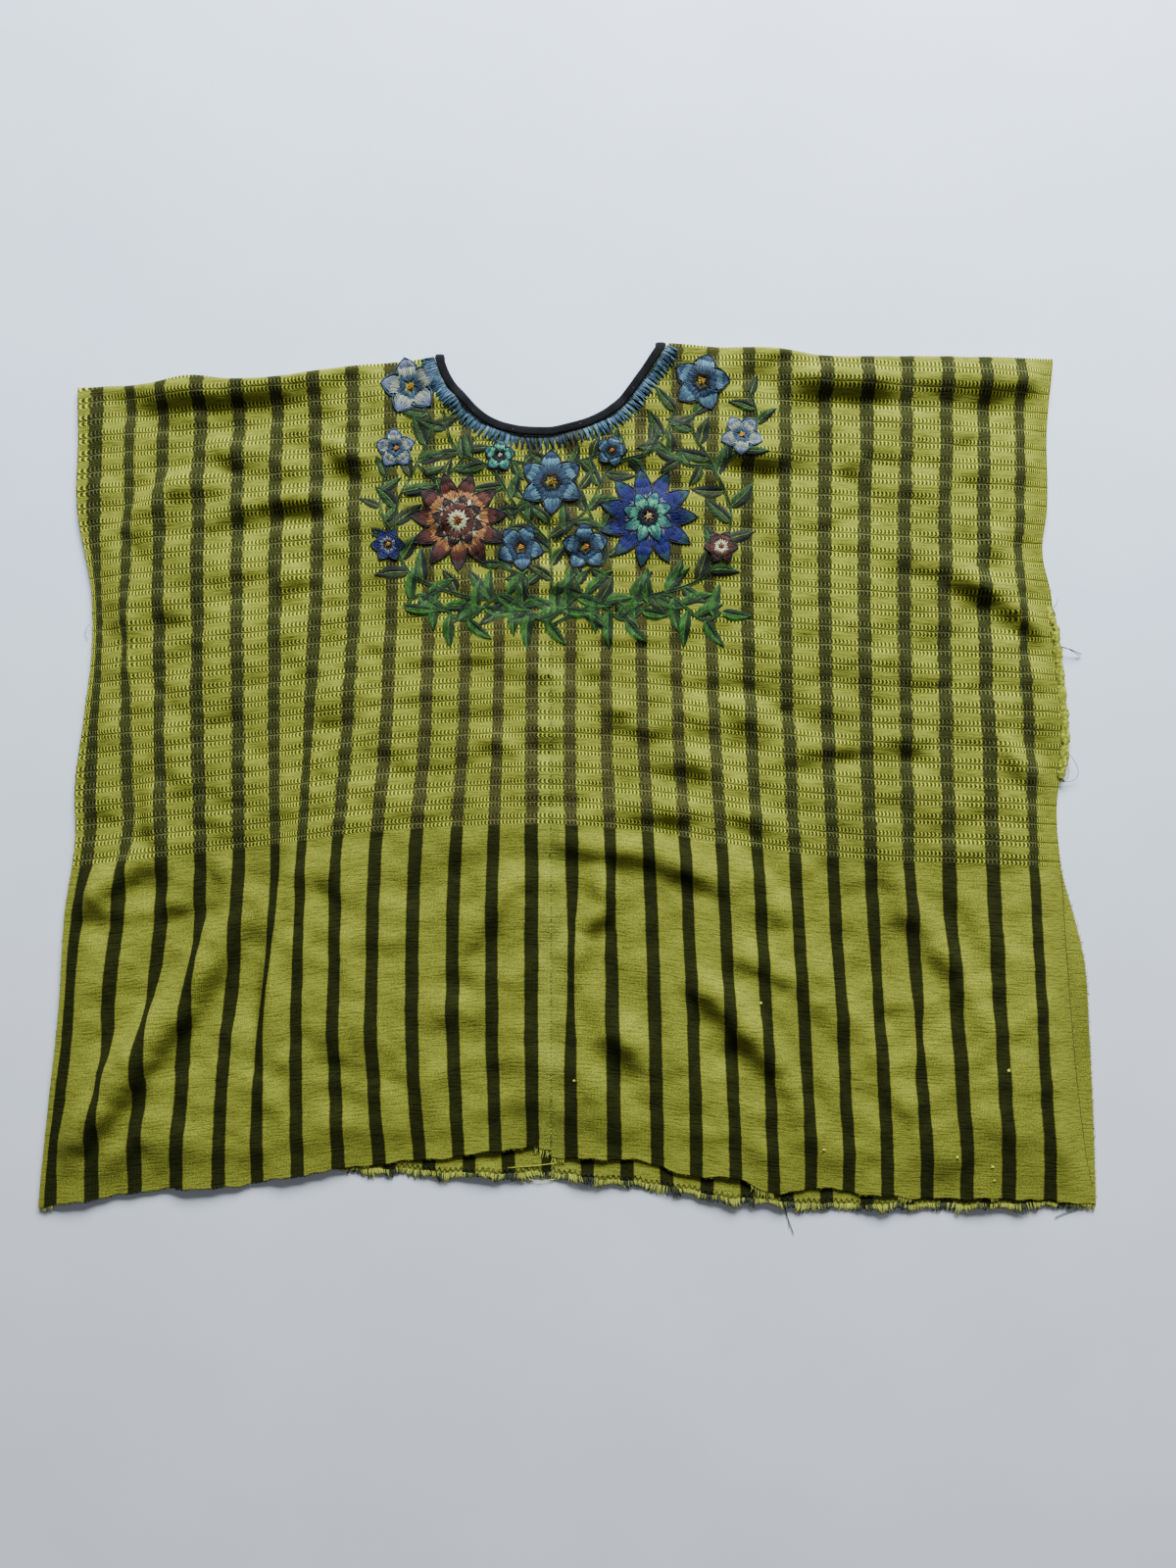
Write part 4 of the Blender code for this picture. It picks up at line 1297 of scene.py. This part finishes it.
def frayBackHem():
    for x in np.arange(backHem["from"], backHem["to"], backHem["apart"]):
        y = float(hemLine(x, True))
        dark = darkAt(x - cloth["backShift"], y)
        tone = rng.choice(backHem["darkTones"] if dark else backHem["tones"])
        if rng.random() < backHem["lost"]:
            continue
        ragged = 0.78 + 0.22 * np.sin(x / 9) + 0.2 * np.sin(x / 3.7 + 2 * np.sin(x / 23))
        long = rng.uniform(*backHem["long"]) * ragged
        curl = rng.uniform(-0.9, 0.9) + 1.3 * np.sin(x / 6.1)
        z = backHem["rise"] + float(hemPuff(x))
        points = [
            (x, y + 2.8, z), (x + curl * 0.5, y - long * 0.3 + 1, z + rng.uniform(-0.2, 0.4)),
            (x + curl, y - long * 0.7 + 1, z - 0.5), (x + curl * 1.4, y - long + 1, 0.6 * z - 0.4),
        ]
        addThread("hem_frays", points, rng.uniform(*backHem["thick"]), tone, 0.6, 0.14)


def overcastBackHem():  # a zigzag along the back's cut edge
    turns, step = hemOvercast["turns"], hemOvercast["step"]
    for x in np.arange(hemOvercast["from"], hemOvercast["to"], turns * step):
        points = []
        for k in range(turns + 1):
            at = x + k * step
            reach = hemOvercast["reach"][k % 2]
            points.append((at, float(hemLine(at, True)) + reach, 1.5 + float(hemPuff(at))))
        addThread("hem_frays", points, hemOvercast["thick"], "overcastAndShadow", 1.0, 0.2)


frayFrontHem()
frayBackHem()
overcastBackHem()


sideFrays = {"from": -325, "to": 292, "apart": 1.9, "long": (0.4, 1.7), "thick": (0.45, 0.8)}
# edgeShadowStitches: dark stitches along the front's right edge, which also paint its shadow line
edgeShadowStitches = {"from": -318, "to": -74, "apart": 2.4, "thick": 0.55}
sideOvercast = {"from": -2, "to": 128, "apart": 2.2, "thick": 0.6}


def makeSides():
    for out, rows in ((-1, outline["leftSide"]), (1, outline["rightSideBack"])):
        for y in np.arange(sideFrays["from"], sideFrays["to"], sideFrays["apart"]):
            y += rng.uniform(-0.8, 0.8)
            x = float(smoothCurve(rows, y))
            long = rng.uniform(*sideFrays["long"])
            tone = rng.choice(["lime", "lime", "olive", "paleLime"])
            low = rng.uniform(0.5, 1.3)
            points = [
                (x - out * 0.8, y, low), (x + out * long * 0.6, y + rng.uniform(-1, 1), low),
                (x + out * long, y + rng.uniform(-1.6, 1.6), low * 0.7),
            ]
            addThread("side_frays_and_shadow_line", points, rng.uniform(*sideFrays["thick"]), tone, 0.6, 0.2)

    # The front's edge is caught down to the back on the right: a near-solid line of very dark stitches that
    # is also the painted shadow line under that edge
    for y in np.arange(edgeShadowStitches["from"], edgeShadowStitches["to"], edgeShadowStitches["apart"]):
        x = float(smoothCurve(outline["rightSide"], y)) + rng.uniform(-0.3, 0.3)
        z = float(frontTop(x - 1, y)) - 0.2
        points = [(x - 0.7, y, z), (x + 0.3, y + 0.9, z), (x + 0.5, y + 2.1, z - 0.5)]
        addThread("side_frays_and_shadow_line", points, edgeShadowStitches["thick"], "overcastAndShadow", 0.8, 0.3)

    # Bits of dark overcasting above it
    for y in np.arange(sideOvercast["from"], sideOvercast["to"], sideOvercast["apart"]):
        x = float(smoothCurve(outline["rightSide"], y)) + rng.uniform(-1.5, 0.6)
        z = float(frontTop(x - 1, y)) + 0.6
        points = [
            (x - 1.6, y, z), (x, y + rng.uniform(-1.2, 1.2), z + 0.5),
            (x + 1.2, y + rng.uniform(-1.8, 1.8), z - 0.3),
        ]
        addThread("side_frays_and_shadow_line", points, sideOvercast["thick"], "darkGreen", 0.6, 0.3)


makeSides()

looseEnds = [  # tone, thickness, then points (x, y, z)
    ("grey", 0.5, [(374, 128, 3.4), (377, 132, 4.2), (378.5, 134.5, 3.4), (379.2, 137.4, 2.4)]),
    ("grey", 0.75, [(377, 100, 3), (384, 99, 4.5), (391, 97, 3.5), (398.5, 94.2, 1.2)]),
    ("grey", 0.6, [(377, 100.6, 3), (384, 99.4, 4.2), (391, 96.2, 3.2), (397.2, 92.8, 1.0)]),
    ("grey", 0.5, [
        (385.5, 19, 3), (389.6, 14, 5), (393.2, 7.5, 5), (394.6, 1.5, 3.6), (392.4, -2.6, 2.6),
        (388, -4.1, 2.2), (381.5, -3.6, 3.2),
    ]),
    ("grey", 0.4, [(384.8, 14, 3.4), (386.6, 9, 3.6), (387.6, 3, 3), (386.4, -2.6, 2.6)]),
    ("olive", 0.6, [
        (165, -317, 2.2), (167, -328, 1.2), (169.6, -339, 0.7), (173, -348, 0.5), (175.4, -355.4, 0.5),
    ]),
    ("olive", 0.45, [(163, -317, 2.2), (166.4, -329, 1.0), (170.6, -341, 0.6), (172, -350, 0.5)]),
    ("olive", 0.55, [(399.8, -331, 1.6), (394, -335.6, 0.8), (386, -338.4, 0.6), (377.7, -342, 0.5)]),
    ("grey", 0.4, [(-369, 118, 2.4), (-372.6, 114.4, 1.2), (-373.6, 110, 0.8), (-371.4, 106, 0.8)]),
    ("lime", 0.6, [(-49, -303, 2.4), (-34, -302, 2.8), (-20, -300.6, 2.6), (-8, -299, 2.6)]),
    ("paleLime", 0.5, [(-36, -310, 1.8), (-22, -313.6, 1.4), (-6, -311.5, 1.2), (8, -312.5, 0.8)]),
]
knots = [  # dark knots on the seam, and slubs: x, y, width, tone
    (-14.4, 123, 1.9, "darkGreen"), (-14.4, 77.5, 1.9, "darkGreen"), (-14.4, 19, 1.5, "darkGreen"),
    (-13.5, -60, 1.4, "olive"), (197.6, -287.3, 2.2, "slub"), (299.4, -292.6, 2.0, "slub"),
    (327.6, -301, 2.2, "slub"), (329, -311.6, 2.0, "slub"), (339.7, -226.5, 2.4, "slub"),
    (149, -174.8, 2.2, "slub"), (5.3, -234, 2.0, "slub"), (383, -3.4, 2.4, "olive"),
]


def makeLooseThreads():
    for tone, thickness, points in looseEnds:
        keys = np.arange(len(points))
        at = np.linspace(0, keys[-1], 4 * len(points))
        fine = curveThrough(keys, np.array(points, float), at)
        addThread("loose_threads", fine, thickness, tone, 0.6, 0.1)
    for x, y, wide, tone in knots:
        middle = np.array([x, y])
        for k in range(4):
            reach = heading(k * 0.8 + rng.uniform(0, 0.4)) * wide / 2
            stitch("loose_threads", middle - reach, middle + reach, wide * 0.5, tone, 0.25, 0.5, 3)


makeLooseThreads()


seamStitches = {"top": 100, "apart": 3.1, "reach": 1.9, "darkShare": 0.6}


def makeSeam():  # the panels are joined edge to edge
    middle, reach = cloth["seamX"], seamStitches["reach"]
    for y in np.arange(hemLine(middle) + 3, seamStitches["top"], seamStitches["apart"]):
        tilt = 1.2 if int(y / seamStitches["apart"]) % 2 else 0.5
        tone = rng.choice(["lime", "olive"])
        start, end = (middle - reach, y - tilt), (middle + reach, y + tilt)
        stitch("seam_stitches", start, end, 0.45, tone, -0.1, 0.3, 3)
        if rng.uniform() < seamStitches["darkShare"]:
            start, end = (middle - 0.1, y), (middle + 0.1, y + 2.4)
            stitch("seam_stitches", start, end, 0.5, "overcastAndShadow", 0.0, 0.2, 3)


makeSeam()

# The rolled strip that shows along the right side
strip = {
    "line": [
        (371, 131), (375.5, 118), (378, 104), (380.5, 82), (382.5, 60), (384.5, 40), (384.5, 20),
        (382.5, 6), (380.5, -4),
    ],
    "width": 6.6,
    "thick": 2.6,
    "apart": 1.6,
    "around": 14,
    "rise": 1.3,  # above the cloth's rest
}


def makeRolledEdge():
    made, tree, shader = newMaterial("rolledEdge", 0.9, 0.1, 0.45)
    place = objectPlace(tree)
    patch = spread(tree, noise(tree, place, 420.0, 2.0), 0.35, 0.7)
    colour = blendColour(tree, patch, srgb(96, 100, 16), srgb(158, 162, 44))
    finishSurface(tree, shader, colour, noise(tree, place, 700.0, 2.0), 0.7, 0.0008)
    return made


def makeStrip():
    path, way = stemPath(strip["line"], strip["apart"])
    left = leftOf(way)
    at = np.arange(len(path))
    ends = np.sqrt(np.clip(np.minimum(at, at[::-1]) / 4 + 0.05, 0, 1))
    lumps = 1 + 0.16 * np.sin(at * 0.62) + 0.08 * rng.standard_normal(len(path))
    wide = strip["width"] / 2 * ends * lumps
    thick = strip["thick"] / 2 * ends * (1 + 0.14 * np.sin(at * 0.9 + 1))
    height = cloth["frontRest"] + strip["rise"]
    rings = []
    for angle in np.linspace(0, 2 * np.pi, strip["around"], endpoint=False):
        place = path + left * (wide * np.cos(angle))[:, None]
        rings.append(np.concatenate([place, (height + thick * np.sin(angle))[:, None]], axis=1))
    mesh = gridMesh("side_strip", np.stack(rings, axis=1), None, False, True)
    closeTube(mesh, True)
    return addObject("side_strip", mesh, makeRolledEdge())


stripPiece = makeStrip()
trims = {  # each piece's thread, and how many sides its tubes have
    "embroidered_leaves": ("floss", 4),
    "embroidered_border": ("floss", 4),
    "embroidered_blooms": ("floss", 4),
    "neck_edging": ("floss", 5),
    "hem_frays": ("cotton", 4),
    "side_frays_and_shadow_line": ("cotton", 4),
    "seam_stitches": ("cotton", 4),
    "loose_threads": ("cotton", 6),
}
trimPieces = {name: makeThreads(name, *look) for name, look in trims.items()}

# Stage, camera and light
board = {
    "size": 6, "drop": 0.0003, "roughness": 0.6,
    # far and near: the far half is painted bluer, for the cool light from the window side
    "far": (srgb(211, 219, 233), srgb(217, 225, 238)),
    "near": (srgb(214, 216, 219), srgb(220, 222, 225)),
}
view = {"x": 16.0, "y": -6.0, "distance": 915.0, "height": 1216.0}  # height is what the frame takes in
lights = {
    "windowLight": {
        "place": (0.4, 2.1, 1.12), "size": (1.9, 0.9), "power": 270, "colour": (0.85, 0.925, 1.0),
    },
    "fillLight": {"place": (0.2, -0.2, 2.8), "size": (3.0, 3.0), "power": 5, "colour": (0.96, 0.98, 1.0)},
}
room = {"colour": (0.84, 0.9, 1.0, 1), "strength": 0.12}


def makeStage():
    bpy.ops.mesh.primitive_plane_add(size=board["size"], location=(0, 0, -board["drop"]))
    floor = bpy.context.object
    floor.name = "floor"
    made, tree, shader = newMaterial("paleBoard", board["roughness"])
    place = objectPlace(tree)
    cloudy = spread(tree, noise(tree, place, 5.0, 4.0, 0.6), 0.35, 0.7)
    near, far = (blendColour(tree, cloudy, *board[end]) for end in ("near", "far"))
    # The board turns bluer towards its far side: painted cool window light
    upwards = spread(tree, splitPlace(tree, place)["Y"], -0.45, 0.35)
    finishSurface(tree, shader, blendColour(tree, upwards, near, far))
    floor.data.materials.append(made)


def makeCamera():
    camera = bpy.data.cameras.new("camera")
    camera.lens = camera.sensor_width * view["distance"] / view["height"]
    holder = bpy.data.objects.new("camera", camera)
    holder.location = (view["x"] * mm, view["y"] * mm, view["distance"] * mm)
    bpy.context.scene.collection.objects.link(holder)
    bpy.context.scene.camera = holder


def makeLight(name, place, size, power, colour):
    lamp = bpy.data.lights.new(name, "AREA")
    lamp.shape = "RECTANGLE"
    lamp.size, lamp.size_y = size
    lamp.energy = power
    lamp.color = colour
    holder = bpy.data.objects.new(name, lamp)
    holder.location = place
    holder.rotation_euler = (-holder.location).to_track_quat("-Z", "Y").to_euler()
    bpy.context.scene.collection.objects.link(holder)


makeStage()
makeCamera()
for name, look in lights.items():
    makeLight(name, **look)
world = bpy.data.worlds.new("softRoom")
bpy.context.scene.world = world
world.use_nodes = True
backdrop = world.node_tree.nodes["Background"]
backdrop.inputs["Color"].default_value = room["colour"]
backdrop.inputs["Strength"].default_value = room["strength"]
print("stage, camera and light")

# Hang every piece on the root, sort the trims by side, and hide the frame's own panels and neck band
trimHome = {"left": [], "right": []}
for name, piece in [*trimPieces.items(), ("side_strip", stripPiece)]:
    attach(piece, "root")
    home = "left" if name in ("side_frays_and_shadow_line", "seam_stitches") else "right"
    trimHome[home].append(piece)
for side, panel in panels.items():
    piece = clothPieces[side]
    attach(piece, "root")
    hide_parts(panel["node"])
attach(bandPiece, "root")
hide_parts("neck_band")
